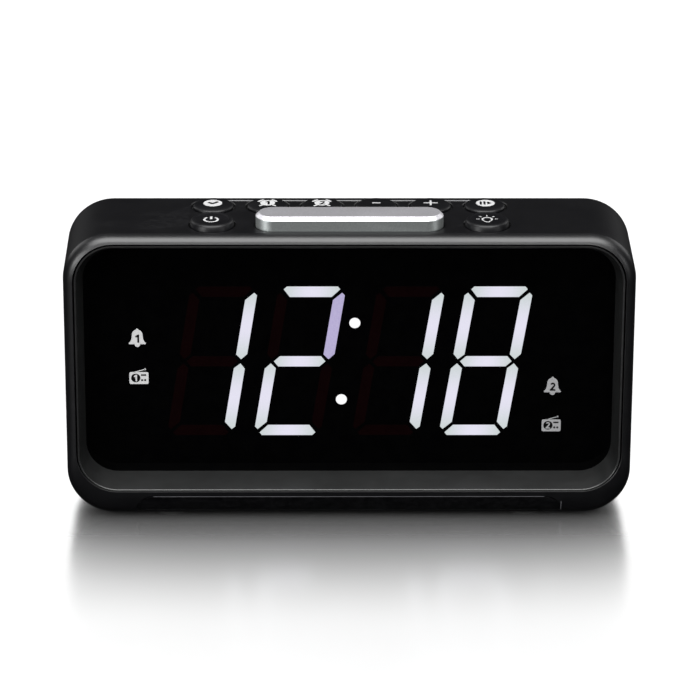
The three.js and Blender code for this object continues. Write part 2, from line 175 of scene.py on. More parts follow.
def carve(piece, cutters, operation="DIFFERENCE"):
    for cutter in cutters:
        step = piece.modifiers.new("carve", "BOOLEAN")
        step.operation = operation
        step.solver = "EXACT"
        step.object = cutter
    settleModifiers(piece)
    for cutter in cutters:
        bpy.data.objects.remove(cutter)
    return piece


def softenEdges(piece, width, angle=32, segments=3):
    bevel = piece.modifiers.new("softEdges", "BEVEL")
    bevel.width = width * mm
    bevel.segments = segments
    bevel.limit_method = "ANGLE"
    bevel.angle_limit = radians(angle)
    settleModifiers(piece)
    return piece


def finishPiece(piece, material, body, standsFor=(), crease=34):
    piece.data.shade_smooth()
    piece.data.set_sharp_from_angle(angle=radians(crease))
    weights = piece.modifiers.new("flatFaces", "WEIGHTED_NORMAL")
    weights.keep_sharp = True
    piece.data.materials.clear()
    piece.data.materials.append(material)
    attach(piece, body)
    if standsFor:
        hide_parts(*standsFor)
    return piece


# Shader node groups: each puts out only masks and heights

def startGroup(name, inputs, outputs):
    group = bpy.data.node_groups.new(name, "ShaderNodeTree")
    for label, value in inputs:
        socket = group.interface.new_socket(name=label, in_out="INPUT", socket_type="NodeSocketFloat")
        socket.default_value = value
    for label in outputs:
        group.interface.new_socket(name=label, in_out="OUTPUT", socket_type="NodeSocketFloat")
    return group, group.nodes.new("NodeGroupInput"), group.nodes.new("NodeGroupOutput")


def addNode(tree, kind, settings=None, values=None):
    node = tree.nodes.new(kind)
    for key, value in (settings or {}).items():
        setattr(node, key, value)
    for key, value in (values or {}).items():
        node.inputs[key].default_value = value
    return node


def addMath(tree, operation, first, second=None, clamp=False):
    node = addNode(tree, "ShaderNodeMath", {"operation": operation, "use_clamp": clamp})
    for index, value in enumerate((first, second)):
        if isinstance(value, bpy.types.NodeSocket):
            tree.links.new(value, node.inputs[index])
        elif value is not None:
            node.inputs[index].default_value = value
    return node.outputs["Value"]


def addRange(tree, value, fromLow, fromHigh, toLow=0.0, toHigh=1.0):
    values = {"From Min": fromLow, "From Max": fromHigh, "To Min": toLow, "To Max": toHigh}
    node = addNode(tree, "ShaderNodeMapRange", {"interpolation_type": "SMOOTHSTEP"}, values)
    tree.links.new(value, node.inputs["Value"])
    return node.outputs["Result"]


def addNoise(tree, place, scale, detail=3.0, roughness=0.5, stretch=None):
    noise = addNode(tree, "ShaderNodeTexNoise", None, {"Detail": detail, "Roughness": roughness})
    if stretch:
        mapping = addNode(tree, "ShaderNodeMapping", None, {"Scale": stretch})
        tree.links.new(place, mapping.inputs["Vector"])
        place = mapping.outputs["Vector"]
    tree.links.new(place, noise.inputs["Vector"])
    if isinstance(scale, bpy.types.NodeSocket):
        tree.links.new(scale, noise.inputs["Scale"])
    else:
        noise.inputs["Scale"].default_value = scale
    return noise.outputs["Fac"]


def mixColour(tree, factor, first, second, blend="MIX"):
    node = addNode(tree, "ShaderNodeMix", {"data_type": "RGBA", "blend_type": blend})
    for socket, value in ((node.inputs[0], factor), (node.inputs[6], first), (node.inputs[7], second)):
        if isinstance(value, bpy.types.NodeSocket):
            tree.links.new(value, socket)
        else:
            socket.default_value = value
    return node.outputs[2]


def objectPlace(tree):
    return addNode(tree, "ShaderNodeTexCoord").outputs["Object"]


def splitAxes(tree, vector):
    parts = addNode(tree, "ShaderNodeSeparateXYZ")
    tree.links.new(vector, parts.inputs["Vector"])
    return parts.outputs


def shaderOf(tree):
    return next(node for node in tree.nodes if node.type == "BSDF_PRINCIPLED")


# Fine texture of a moulding tool: a height for bump and a slow mottle for colour
def buildMouldGrain():
    inputs = [("Scale", 4000.0), ("Mottle Scale", 260.0)]
    group, inside, outside = startGroup("mouldGrain", inputs, ["Height", "Mottle"])
    place = objectPlace(group)
    fine = addNoise(group, place, inside.outputs["Scale"], 4.0, 0.6)
    cells = addNode(group, "ShaderNodeTexVoronoi", {"feature": "SMOOTH_F1"})
    group.links.new(place, cells.inputs["Vector"])
    group.links.new(inside.outputs["Scale"], cells.inputs["Scale"])
    pebble = addMath(group, "MULTIPLY", cells.outputs["Distance"], 0.55)
    group.links.new(addMath(group, "ADD", fine, pebble), outside.inputs["Height"])
    slow = addNoise(group, place, inside.outputs["Mottle Scale"], 5.0, 0.62)
    group.links.new(addRange(group, slow, 0.32, 0.68), outside.inputs["Mottle"])
    return group


# Faint marks left by hands and wiping, for roughness
def buildHandlingMarks():
    group, inside, outside = startGroup("handlingMarks", [("Scale", 45.0)], ["Marks"])
    place = objectPlace(group)
    cloud = addNoise(group, place, inside.outputs["Scale"], 6.0, 0.65)
    wipeScale = addMath(group, "MULTIPLY", inside.outputs["Scale"], 4.0)
    wipes = addNoise(group, place, wipeScale, 2.0, 0.5, (0.25, 1.0, 1.6))
    both = addMath(group, "MULTIPLY", addRange(group, cloud, 0.38, 0.72), addRange(group, wipes, 0.3, 0.75))
    group.links.new(both, outside.inputs["Marks"])
    return group


# Edges rubbed smooth, broken up by noise
def buildEdgeWear():
    group, inside, outside = startGroup("edgeWear", [("Amount", 0.5), ("Break Up", 900.0)], ["Wear"])
    geometry = addNode(group, "ShaderNodeNewGeometry")
    place = objectPlace(group)
    edge = addRange(group, geometry.outputs["Pointiness"], 0.55, 0.66)
    patches = addRange(group, addNoise(group, place, inside.outputs["Break Up"], 5.0, 0.7), 0.4, 0.66)
    worn = addMath(group, "MULTIPLY", edge, patches)
    group.links.new(addMath(group, "MULTIPLY", worn, inside.outputs["Amount"], True), outside.inputs["Wear"])
    return group


# Dust that settles on what faces up
def buildSettledDust():
    group, inside, outside = startGroup("settledDust", [("Amount", 0.2), ("Speck Scale", 2600.0)], ["Dust"])
    geometry = addNode(group, "ShaderNodeNewGeometry")
    place = objectPlace(group)
    facing = addRange(group, splitAxes(group, geometry.outputs["Normal"])["Z"], 0.55, 1.0)
    specks = addRange(group, addNoise(group, place, inside.outputs["Speck Scale"], 2.0, 0.5), 0.66, 0.76)
    film = addRange(group, addNoise(group, place, 70.0, 4.0, 0.6), 0.35, 0.8, 0.0, 0.35)
    both = addMath(group, "MAXIMUM", specks, film)
    dusty = addMath(group, "MULTIPLY", facing, both)
    group.links.new(addMath(group, "MULTIPLY", dusty, inside.outputs["Amount"], True), outside.inputs["Dust"])
    return group


# Lines of a rolled or brushed metal sheet
def buildBrushedLines():
    group, inside, outside = startGroup("brushedLines", [("Scale", 900.0)], ["Lines"])
    place = objectPlace(group)
    streaks = addNoise(group, place, inside.outputs["Scale"], 4.0, 0.7, (0.05, 1.0, 1.0))
    group.links.new(streaks, outside.inputs["Lines"])
    return group


groups = {
    "mouldGrain": buildMouldGrain(),
    "handlingMarks": buildHandlingMarks(),
    "edgeWear": buildEdgeWear(),
    "settledDust": buildSettledDust(),
    "brushedLines": buildBrushedLines(),
}


def useGroup(tree, name, **values):
    node = tree.nodes.new("ShaderNodeGroup")
    node.node_tree = groups[name]
    for key, value in values.items():
        node.inputs[key].default_value = value
    return node


# Base, light and worn are colours; rough is the low and high end
# Grain is scale per metre and bump depth in millimetres
plainLook = {
    "base": (0.02, 0.02, 0.02), "light": (0.03, 0.03, 0.03), "worn": (0.08, 0.08, 0.085),
    "rough": (0.4, 0.5), "grain": (4000.0, 0.01), "mottle": 260.0, "marks": 45.0,
    "wear": 0.3, "dust": 0.1, "metallic": 0.0, "coat": 0.0, "coatRough": 0.08, "specular": 0.5, "lines": 0.0,
    "dustColour": (0.3, 0.29, 0.27), "dustRough": 0.4, "lineRough": 0.12,
}


def surface(name, **changes):
    look = {**plainLook, **changes}
    material = bpy.data.materials.new(name)
    material.use_nodes = True
    tree = material.node_tree
    tree.nodes.clear()
    shader = tree.nodes.new("ShaderNodeBsdfPrincipled")
    output = tree.nodes.new("ShaderNodeOutputMaterial")
    tree.links.new(shader.outputs["BSDF"], output.inputs["Surface"])
    grain = useGroup(tree, "mouldGrain", **{"Scale": look["grain"][0], "Mottle Scale": look["mottle"]})
    marks = useGroup(tree, "handlingMarks", Scale=look["marks"])
    wear = useGroup(tree, "edgeWear", Amount=look["wear"])
    dust = useGroup(tree, "settledDust", Amount=look["dust"])
    colour = mixColour(tree, grain.outputs["Mottle"], (*look["base"], 1), (*look["light"], 1))
    colour = mixColour(tree, wear.outputs["Wear"], colour, (*look["worn"], 1))
    colour = mixColour(tree, dust.outputs["Dust"], colour, (*look["dustColour"], 1))
    tree.links.new(colour, shader.inputs["Base Color"])
    rough = addRange(tree, marks.outputs["Marks"], 0.0, 1.0, *look["rough"])
    height = grain.outputs["Height"]
    if look["lines"]:
        lines = useGroup(tree, "brushedLines", Scale=look["lines"])
        streaks = addMath(tree, "MULTIPLY", lines.outputs["Lines"], look["lineRough"])
        rough = addMath(tree, "ADD", rough, streaks)
        height = addMath(tree, "ADD", height, lines.outputs["Lines"])
    dulled = addMath(tree, "MULTIPLY", dust.outputs["Dust"], look["dustRough"])
    tree.links.new(addMath(tree, "ADD", rough, dulled, True), shader.inputs["Roughness"])
    bump = addNode(tree, "ShaderNodeBump", None, {"Strength": 1.0, "Distance": look["grain"][1] * mm})
    tree.links.new(height, bump.inputs["Height"])
    tree.links.new(bump.outputs["Normal"], shader.inputs["Normal"])
    plainInputs = {"Metallic": "metallic", "Coat Weight": "coat", "Coat Roughness": "coatRough",
                   "Specular IOR Level": "specular"}
    for socket, key in plainInputs.items():
        shader.inputs[socket].default_value = look[key]
    return material


# Puts a pattern between the colour that surface() made and the shader
def patternOver(material, mask, second):
    tree = material.node_tree
    shader = shaderOf(tree)
    under = shader.inputs["Base Color"].links[0].from_socket
    tree.links.new(mixColour(tree, mask, under, second), shader.inputs["Base Color"])


satinBlack = surface("satinBlackPlastic", base=(0.0012, 0.0012, 0.0016), light=(0.0018, 0.0018, 0.0023),
                     rough=(0.36, 0.43), grain=(5200.0, 0.006), wear=0.25, worn=(0.014, 0.014, 0.015),
                     dust=0.006)
keyBlack = surface("keyBlackPlastic", base=(0.0014, 0.0014, 0.0019), light=(0.0022, 0.0022, 0.0028),
                   rough=(0.4, 0.47), grain=(6000.0, 0.004), wear=0.4, worn=(0.02, 0.02, 0.022), dust=0.006,
                   specular=0.28)
glossBlack = surface("glossBlackPlastic", base=(0.006, 0.0062, 0.0062), light=(0.008, 0.0083, 0.0083),
                     rough=(0.36, 0.42), grain=(7000.0, 0.0015), wear=0.12, dust=0.008, coat=0.05,
                     coatRough=0.12)
smokedWindow = surface("smokedWindowAcrylic", base=(0.0003, 0.0003, 0.00035), light=(0.0005, 0.0005, 0.00055),
                       rough=(0.03, 0.06), grain=(500.0, 0.0002), marks=30.0, wear=0.0, dust=0.0,
                       specular=0.1)
smokedStrip = surface("smokedStripAcrylic", base=(0.0008, 0.0008, 0.001), light=(0.0012, 0.0012, 0.0014),
                      rough=(0.12, 0.2), grain=(3000.0, 0.001), wear=0.15, dust=0.01)
silverPaint = surface("silverPaint", base=(0.135, 0.144, 0.144), light=(0.175, 0.187, 0.184),
                      rough=(0.42, 0.48), grain=(5200.0, 0.004), mottle=3800.0, wear=0.35,
                      worn=(0.5, 0.5, 0.5), dust=0.01, metallic=0.85)
ink = {"rough": (0.45, 0.55), "grain": (9000.0, 0.002), "wear": 0.0, "dust": 0.0}
printWhite = surface("printedWhite", base=(0.31, 0.31, 0.315), light=(0.36, 0.36, 0.36), mottle=2600.0, **ink)
printGrey = surface("printedGrey", base=(0.17, 0.17, 0.175), light=(0.21, 0.21, 0.215), mottle=2600.0, **ink)
printBlack = surface("printedBlack", base=(0.001, 0.001, 0.001), light=(0.0015, 0.0015, 0.0015), specular=0.1,
                     **{**ink, "rough": (0.4, 0.5)})
accentLine = surface("accentLine", base=(0.15, 0.15, 0.155), light=(0.19, 0.19, 0.19), rough=(0.35, 0.45),
                     grain=(6000.0, 0.002), wear=0.2, dust=0.02)
# Pale finish of the strip bead and tick: a painted highlight
paintedStripHighlight = surface("paintedStripHighlight", base=(0.05, 0.05, 0.055), light=(0.065, 0.065, 0.07), rough=(0.3, 0.4),
                   grain=(6000.0, 0.002), wear=0.3, dust=0.02)
blackRubber = surface("blackRubber", base=(0.012, 0.012, 0.012), light=(0.02, 0.02, 0.02), rough=(0.75, 0.88),
                      grain=(2600.0, 0.03), wear=0.5, worn=(0.05, 0.05, 0.05), dust=0.1, specular=0.3)
componentBlack = surface("componentBlack", base=(0.02, 0.02, 0.021), light=(0.032, 0.032, 0.034),
                         rough=(0.42, 0.55), grain=(4200.0, 0.008), wear=0.4, dust=0.12)
tinPlate = surface("tinPlate", base=(0.55, 0.56, 0.57), light=(0.62, 0.62, 0.62), rough=(0.24, 0.36),
                   grain=(1600.0, 0.004), worn=(0.7, 0.7, 0.7), dust=0.08, metallic=1.0, lines=900.0)
zincSteel = surface("zincSteel", base=(0.42, 0.43, 0.44), light=(0.52, 0.52, 0.51), rough=(0.26, 0.4),
                    grain=(2600.0, 0.006), mottle=900.0, wear=0.6, worn=(0.68, 0.68, 0.67), dust=0.05,
                    metallic=1.0, lines=1400.0)
labelGrey = surface("labelFoil", base=(0.34, 0.35, 0.36), light=(0.4, 0.41, 0.42), rough=(0.36, 0.46),
                    grain=(1800.0, 0.004), worn=(0.5, 0.5, 0.5), dust=0.05, metallic=0.3, lines=600.0)
speakerPaper = surface("speakerPaper", base=(0.024, 0.021, 0.019), light=(0.05, 0.045, 0.04),
                       rough=(0.82, 0.94), grain=(1500.0, 0.06), mottle=1500.0, wear=0.2, dust=0.15,
                       specular=0.25)
ferriteGrey = surface("ferriteGrey", base=(0.04, 0.04, 0.043), light=(0.075, 0.075, 0.08), rough=(0.5, 0.66),
                      grain=(2400.0, 0.02), mottle=2200.0, wear=0.7, worn=(0.16, 0.16, 0.16), dust=0.1)
displayBlack = surface("displayBlack", base=(0.01, 0.009, 0.009), light=(0.015, 0.013, 0.013),
                       rough=(0.6, 0.7), grain=(3000.0, 0.01), wear=0.2, dust=0.03)


# Green solder mask with paler tracks under it and tinned pads
def makeBoardGreen():
    material = surface("boardGreen", base=(0.014, 0.07, 0.03), light=(0.02, 0.09, 0.04), rough=(0.28, 0.4),
                       grain=(1500.0, 0.006), worn=(0.2, 0.22, 0.14), dust=0.08)
    tree = material.node_tree
    place = objectPlace(tree)
    black, white = (0, 0, 0, 1), (1, 1, 1, 1)
    values = {"Scale": 110.0, "Mortar Size": 0.035, "Mortar Smooth": 0.1, "Color1": black, "Color2": black,
              "Mortar": white}
    tracks = addNode(tree, "ShaderNodeTexBrick", {"offset": 0.37, "squash": 0.6}, values)
    tree.links.new(place, tracks.inputs["Vector"])
    pads = addNode(tree, "ShaderNodeTexVoronoi", None, {"Scale": 260.0, "Randomness": 0.35})
    tree.links.new(place, pads.inputs["Vector"])
    patternOver(material, addMath(tree, "MULTIPLY", tracks.outputs["Color"], 0.7), (0.05, 0.2, 0.07, 1))
    patternOver(material, addRange(tree, pads.outputs["Distance"], 0.16, 0.12), (0.55, 0.54, 0.5, 1))
    return material


# A plain shrink sleeve: dark body and one pale band round the positive end
def makeCellJacket():
    material = surface("cellJacket", base=(0.05, 0.06, 0.08), light=(0.065, 0.075, 0.1), rough=(0.2, 0.32),
                       grain=(2400.0, 0.002), wear=0.4, worn=(0.3, 0.3, 0.3), dust=0.05, coat=0.4)
    tree = material.node_tree
    low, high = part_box("backup_cell_1")
    start = mixed(low.x, high.x, 0.72)
    band = addMath(tree, "GREATER_THAN", splitAxes(tree, objectPlace(tree))["X"], start)
    patternOver(material, addMath(tree, "MULTIPLY", band, 0.9), (0.5, 0.42, 0.16, 1))
    return material


# Painted highlight: what faces up is painted paler, standing in for the light that falls on the top and
# chamfer from above
def paintTopSheen(material):
    tree = material.node_tree
    facing = splitAxes(tree, addNode(tree, "ShaderNodeNewGeometry").outputs["Normal"])["Z"]
    flakes = addRange(tree, addNoise(tree, objectPlace(tree), 3400.0, 4.0, 0.65), 0.25, 0.75, 0.78, 1.0)
    paintedTopSheen = addMath(tree, "MULTIPLY", addRange(tree, facing, 0.25, 0.7), flakes)
    patternOver(material, paintedTopSheen, (0.58, 0.57, 0.6, 1))


# The snooze bar's paint gets a painted highlight on its upward faces
paintTopSheen(silverPaint)
boardGreen = makeBoardGreen()
cellJacket = makeCellJacket()


glowing = {"rough": (0.3, 0.4), "grain": (6000.0, 0.001), "wear": 0.0, "dust": 0.0}


def lightUp(tree, colour):
    shader = shaderOf(tree)
    tree.links.new(colour, shader.inputs["Emission Color"])
    shader.inputs["Emission Strength"].default_value = 1.0


# Lamps behind the segments: glow is 1 over a lamp and 0 at the tips
def makeLitSegment():
    material = surface("litSegment", base=(0.02, 0.02, 0.022), light=(0.025, 0.025, 0.027), **glowing)
    tree = material.node_tree
    glow = addNode(tree, "ShaderNodeAttribute", {"attribute_name": "glow"})
    tint = addNode(tree, "ShaderNodeAttribute", {"attribute_name": "tint"})
    tips, middle, violet = (0.54, 0.6, 0.6, 1), (0.72, 0.7, 0.83, 1), (0.36, 0.3, 0.56, 1)
    colour = mixColour(tree, glow.outputs["Fac"], tips, middle)
    colour = mixColour(tree, tint.outputs["Fac"], colour, violet)
    grains = addRange(tree, addNoise(tree, objectPlace(tree), 2600.0, 3.0, 0.6), 0.2, 0.8, 0.0, 0.14)
    lightUp(tree, mixColour(tree, grains, colour, (1, 1, 1, 1)))
    return material


def makeGlow(name, colour):
    material = surface(name, **glowing)
    tree = material.node_tree
    grains = addRange(tree, addNoise(tree, objectPlace(tree), 1800.0, 3.0, 0.6), 0.2, 0.8, 0.0, 0.25)
    pale = tuple(mixed(part, 1.0, 0.2) for part in colour)
    lightUp(tree, mixColour(tree, grains, (*colour, 1), (*pale, 1)))
    return material


litSegment = makeLitSegment()
litDot = makeGlow("litDot", (0.95, 0.95, 0.96))
unlitSegment = surface("unlitSegment", base=(0.0016, 0.0004, 0.0005), light=(0.002, 0.0005, 0.0006),
                       rough=(0.1, 0.14), grain=(6000.0, 0.0003), wear=0.0, dust=0.0, specular=0.1)
print("materials ready:", len(bpy.data.materials))

# Cabinet sleeve: a soft band round the front, then straight back to a small rear fillet
shell = {
    "opening": (65.6, 6.5, 70.2, 9.8), "mouthFront": 0.15, "mouthDepth": 2.6,
    "bandDepth": 2.8, "bandStart": 8, "bandEnd": 74, "bandSteps": 12, "innerEdge": 0.14,
    "wall": 1.8, "innerFront": 4.6, "rearFillet": 1.5, "creaseHold": 0.12,
}


def bodyOutline(by=0.0):
    return grown((radio["halfWidth"], 0.0, radio["height"], radio["radius"]), -by)


bandStart, bandEnd = radians(shell["bandStart"]), radians(shell["bandEnd"])


# Share of the way out, and depth, where the band has turned by an angle
def bandPoint(angle):
    across = (sin(angle) - sin(bandStart)) / (sin(bandEnd) - sin(bandStart))
    back = (cos(angle) - cos(bandStart)) / (cos(bandEnd) - cos(bandStart))
    return across, mixed(shell["mouthFront"], shell["bandDepth"], back)


def sleeveBlank(name):
    opening, front, edge = shell["opening"], shell["mouthFront"], shell["innerEdge"]
    fillet, wall, back = shell["rearFillet"], shell["wall"], radio["sleeveBack"]
    stations = [(shell["mouthDepth"], opening), (front + 2 * edge, opening)]
    stations += [(front + 0.4 * edge, grown(opening, 0.25 * edge)), (front, grown(opening, edge))]
    for i in range(1, shell["bandSteps"] + 1):
        across, y = bandPoint(mixed(bandStart, bandEnd, i / shell["bandSteps"]))
        stations.append((y, blended(opening, bodyOutline(), across)))
    stations.append((shell["bandDepth"] + shell["creaseHold"], bodyOutline()))
    for degrees in range(0, 91, 15):
        angle = radians(degrees)
        stations.append((back - fillet * (1 - sin(angle)), bodyOutline(fillet * (1 - cos(angle)))))
    stations += [(back, bodyOutline(wall)), (shell["innerFront"], bodyOutline(wall))]
    return loft(name, uprightRings(stations), closed=True)


# Night light strip, let into the lower part of the band
strip = {"halfWidth": 51.3, "top": 5.0, "depth": 1.9, "radius": 3.9, "gap": 0.16, "windowHalf": 47.0,
         "windowLow": 1.2, "windowHigh": 3.6, "windowBack": 8.0}


def stripBlock(extra):
    radius = strip["radius"] + extra
    outline = roundedOutline(strip["halfWidth"] + extra, -2 * radius, strip["top"] + extra, radius)
    return loft("stripBlock", [uprightRing(-1.0, outline), uprightRing(strip["depth"] + extra, outline)])


# Keys: two rows of round buttons and the snooze bar, each in a shallow well
keys = {
    "sink": 0.2, "wellDepth": 1.1, "wellGap": 0.3, "rearWellGap": 0.5, "wellSoft": 0.15, "floorSoft": 0.12,
    "frontX": 32.65, "frontY": 8.5, "rearY": 21.0, "pitch": 13.05, "stemRadius": 1.3, "frontStemY": 12.3,
    "frontProfile": [(5.3, -0.2), (5.28, 0.0), (5.2, 0.5), (5.08, 0.98), (4.98, 1.2), (4.8, 1.38),
                     (4.5, 1.52), (4.2, 1.59), (4.02, 1.6), (3.9, 1.5), (3.7, 1.47), (2.0, 1.44),
                     (0.0, 1.43)],
    "rearProfile": [(4.85, -0.2), (4.85, 0.05), (4.8, 0.24), (4.66, 0.4), (4.4, 0.54), (4.0, 0.67),
                    (3.5, 0.78), (2.9, 0.86), (2.5, 0.89), (1.2, 0.9), (0.0, 0.9)],
}
snooze = {"halfWidth": 22.3, "front": 3.85, "back": 12.3, "radius": 4.2, "height": 3.4, "chamfer": 0.85,
          "soft": 0.1}
snoozeOutline = (snooze["halfWidth"], snooze["front"], snooze["back"], snooze["radius"])
stem = {"halfWidth": 5.0, "front": 10.8, "back": 12.1, "footBack": 14.0, "footHeight": 0.8}
rearKeys = ["clock", "alarm_1", "alarm_2", "minus", "plus", "play"]
keyPlaces = {"power": (-keys["frontX"], keys["frontY"]), "light": (keys["frontX"], keys["frontY"])}
for i, keyName in enumerate(rearKeys):
    keyPlaces[keyName] = (keys["pitch"] * (i - (len(rearKeys) - 1) / 2), keys["rearY"])


def isFront(keyName):
    return keyPlaces[keyName][1] == keys["frontY"]


def profileOf(keyName):
    return keys["frontProfile" if isFront(keyName) else "rearProfile"]


def lowestOf(node):
    return (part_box(node)[0].z - corner.z) / mm


def wellCutters():
    deep, above = keys["wellDepth"], 2.0
    floor = radio["height"] - deep
    low, lip = keys["wellSoft"], keys["floorSoft"]
    cutters = []
    for keyName, (x, y) in keyPlaces.items():
        radius = profileOf(keyName)[0][0] + keys["wellGap" if isFront(keyName) else "rearWellGap"]
        profile = [(0.0, 0.0), (radius - low, 0.0), (radius, low), (radius, deep - lip)]
        profile += [(radius + lip, deep), (radius + lip, above), (0.0, above)]
        cutters.append(turned("well", profile, x, y, floor))
    gap = keys["wellGap"]
    outline = roundedOutline(*grown(snoozeOutline, gap)[:3], snooze["radius"])
    cutters.append(loft("well", [flatRing(floor, outline), flatRing(radio["height"] + above, outline)]))
    return cutters


def makeCabinet():
    cabinet = sleeveBlank("cabinet_sleeve")
    half, low, high = strip["windowHalf"], strip["windowLow"], strip["windowHigh"]
    window = boxPiece("window", (-half, strip["depth"], low), (half, strip["windowBack"], high))
    carve(cabinet, [*wellCutters(), stripBlock(strip["gap"]), window])
    finishPiece(cabinet, satinBlack, "radio", ["cabinet"], crease=24)
    lens = sleeveBlank("night_light_strip")
    carve(lens, [stripBlock(0.0)], "INTERSECT")
    finishPiece(lens, smokedStrip, "radio", ["night_light_lens"], crease=24)


# Painted highlight: a pale bead in the joint above the strip and a pale tick where the strip ends on the
# right, standing in for the light caught by the strip's top edge and its right end
highlightBead = {"halfWidth": 47.3, "front": 0.28, "back": 0.9, "radius": 0.05}
highlightTick = {"halfWidth": 0.09, "proud": 0.05, "sunk": 0.3, "shares": (0.43, 0.55, 0.66, 0.76, 0.85)}


def makeStripHighlight():
    top, joint = strip["top"], strip["gap"]
    bead = roundedOutline(*highlightBead.values(), 3)
    piece = loft("strip_highlight_bead", [flatRing(top + 0.01, bead), flatRing(top + joint - 0.03, bead)])
    finishPiece(piece, paintedStripHighlight, "radio")
    rings = []
    for share in highlightTick["shares"]:  # follows the band as it turns under
        y = bandPoint(asin(mixed(sin(bandStart), sin(bandEnd), share)))[1]
        z = shell["opening"][1] * (1 - share)
        x, half = strip["halfWidth"] + joint / 2, highlightTick["halfWidth"]
        near, far = y - highlightTick["proud"], y + highlightTick["sunk"]
        rings.append([(x - half, near, z), (x + half, near, z), (x + half, far, z), (x - half, far, z)])
    finishPiece(loft("strip_highlight_tick", rings), paintedStripHighlight, "radio")


makeCabinet()
makeStripHighlight()
print("cabinet ready")

# Front frame: a thin rounded lip, a funnel down to the window, and the pocket that holds it
bezel = {
    "halfWidth": 64.8, "low": 7.1, "high": 69.4, "radius": 9.0, "thickness": 0.45,
    "taper": 1.2, "rise": 1.4, "topTaper": 3.0, "window": 8.0, "thick": 2.0, "seat": 0.7, "gap": 0.3,
    "pocketWall": 1.0, "pocketFront": 5.4, "nose": 0.32, "lipSteps": 5, "lipFront": 0.02, "lipBack": 2.6,
    "hollow": 0.06,
}
lipOutline = (bezel["halfWidth"], bezel["low"], bezel["high"], bezel["radius"])
funnelOutline = (bezel["halfWidth"] - bezel["taper"], bezel["low"] + bezel["rise"],
                 bezel["high"] - bezel["topTaper"], bezel["radius"] - bezel["taper"])
windowOutline = grown(funnelOutline, bezel["seat"])


def makeBezel():
    nose, steps, window = bezel["nose"], bezel["lipSteps"], bezel["window"]
    lipOuter = grown(lipOutline, bezel["thickness"])
    pocket = grown(windowOutline, bezel["gap"])
    outside = grown(pocket, bezel["pocketWall"])
    pocketBack = window + bezel["thick"] + bezel["gap"]
    stations = []
    for i in range(steps + 1):  # the lip is rounded on its inner side and sharp on its outer side
        angle = pi / 2 * i / steps
        stations.append((nose * (1 - sin(angle)), grown(lipOutline, nose * (1 - cos(angle)))))
    stations += [(bezel["lipFront"], lipOuter), (bezel["lipBack"], lipOuter), (bezel["pocketFront"], outside),
                 (pocketBack, outside), (pocketBack, pocket), (window, pocket), (window, funnelOutline)]
    for share in (0.96, 0.7, 0.4, 0.1):  # the funnel wall, a little hollow towards the window
        inward = share + bezel["hollow"] * sin(pi * share)
        stations.append((mixed(nose, window, share), blended(lipOutline, funnelOutline, inward)))
    frameRing = loft("bezel_frame", uprightRings(stations), closed=True)
    finishPiece(frameRing, glossBlack, "radio", ["front_frame"], crease=40)
    pane = [(window + 0.02, windowOutline), (window + bezel["thick"], windowOutline)]
    pane = softenEdges(loft("display_window", uprightRings(pane)), 0.15)
    finishPiece(pane, smokedWindow, "radio", ["display_lens"])


makeBezel()
print("front ready")

# Seven-segment digits in digit space: across from the middle, up from the middle
digit = {"centreZ": 37.3, "slant": 0.16, "places": (-32.9, -11.9, 11.8, 32.9), "time": "1218", "thick": 0.04,
         "slices": 14, "dotRadius": 1.33, "dotX": -0.25, "dotZ": 9.93}
topBar = [(-6.75, 18.6), (-6.1, 19.32), (6.1, 19.32), (6.75, 18.6), (5.0, 16.63), (-5.0, 16.63)]
middleBar = [(-6.2, 0.0), (-4.95, 1.33), (4.95, 1.33), (6.2, 0.0), (4.95, -1.33), (-4.95, -1.33)]
upperRight = [(7.35, 17.73), (8.1, 17.05), (8.1, 1.9), (6.85, 0.54), (5.45, 1.8), (5.45, 15.83)]
segmentsOf = {"1": "bc", "2": "abdeg", "8": "abcdefg"}
violetSegment = (1, "b")


def flipped(shape, across, up):
    return [(x * across, z * up) for x, z in shape]


segmentShapes = {
    "a": topBar, "g": middleBar, "d": flipped(topBar, 1, -1), "b": upperRight,
    "c": flipped(upperRight, 1, -1), "f": flipped(upperRight, -1, 1), "e": flipped(upperRight, -1, -1),
}


# Both long edges of a segment, from the tip it starts at to the tip it ends at
def edgeChains(shape, upright):
    first, last = shape[0], shape[3]
    return [first, shape[1], shape[2], last], [first, shape[5], shape[4], last], 1 if upright else 0


def along(chain, axis, level):
    for start, end in zip(chain, chain[1:]):
        low, high = sorted((start[axis], end[axis]))
        if low <= level <= high and high > low:
            share = (level - start[axis]) / (end[axis] - start[axis])
            return tuple(mixed(start[k], end[k], share) for k in (0, 1))
    return chain[-1]


def makeSegments(name, chosen, material, front):
    points, faces, glow, tint = [], [], [], []
    for place, letter in chosen:
        outer, inner, axis = edgeChains(segmentShapes[letter], letter not in "agd")
        start, end = outer[0][axis], outer[-1][axis]
        levels = sorted({point[axis] for point in outer + inner})
        levels += [mixed(levels[0], levels[-1], i / digit["slices"]) for i in range(1, digit["slices"])]
        levels = sorted(set(levels))
        base = len(points)
        for level in levels:
            share = (level - min(start, end)) / abs(end - start)
            for chain in (outer, inner):
                x, z = along(chain, axis, level)
                for y in (front, front + digit["thick"]):
                    points.append((digit["places"][place] + x + z * digit["slant"], y, digit["centreZ"] + z))
                    glow.append(sin(pi * share) ** 1.5)
                    tint.append(0.9 if (place, letter) == violetSegment else 0.0)
        for i in range(len(levels) - 1):
            here, there = base + 4 * i, base + 4 * i + 4
            for a, b in ((0, 2), (2, 3), (3, 1), (1, 0)):
                faces.append((here + a, here + b, there + b, there + a))
    piece = makePiece(name, points, faces, (("glow", glow), ("tint", tint)))
    finishPiece(piece, material, "radio")


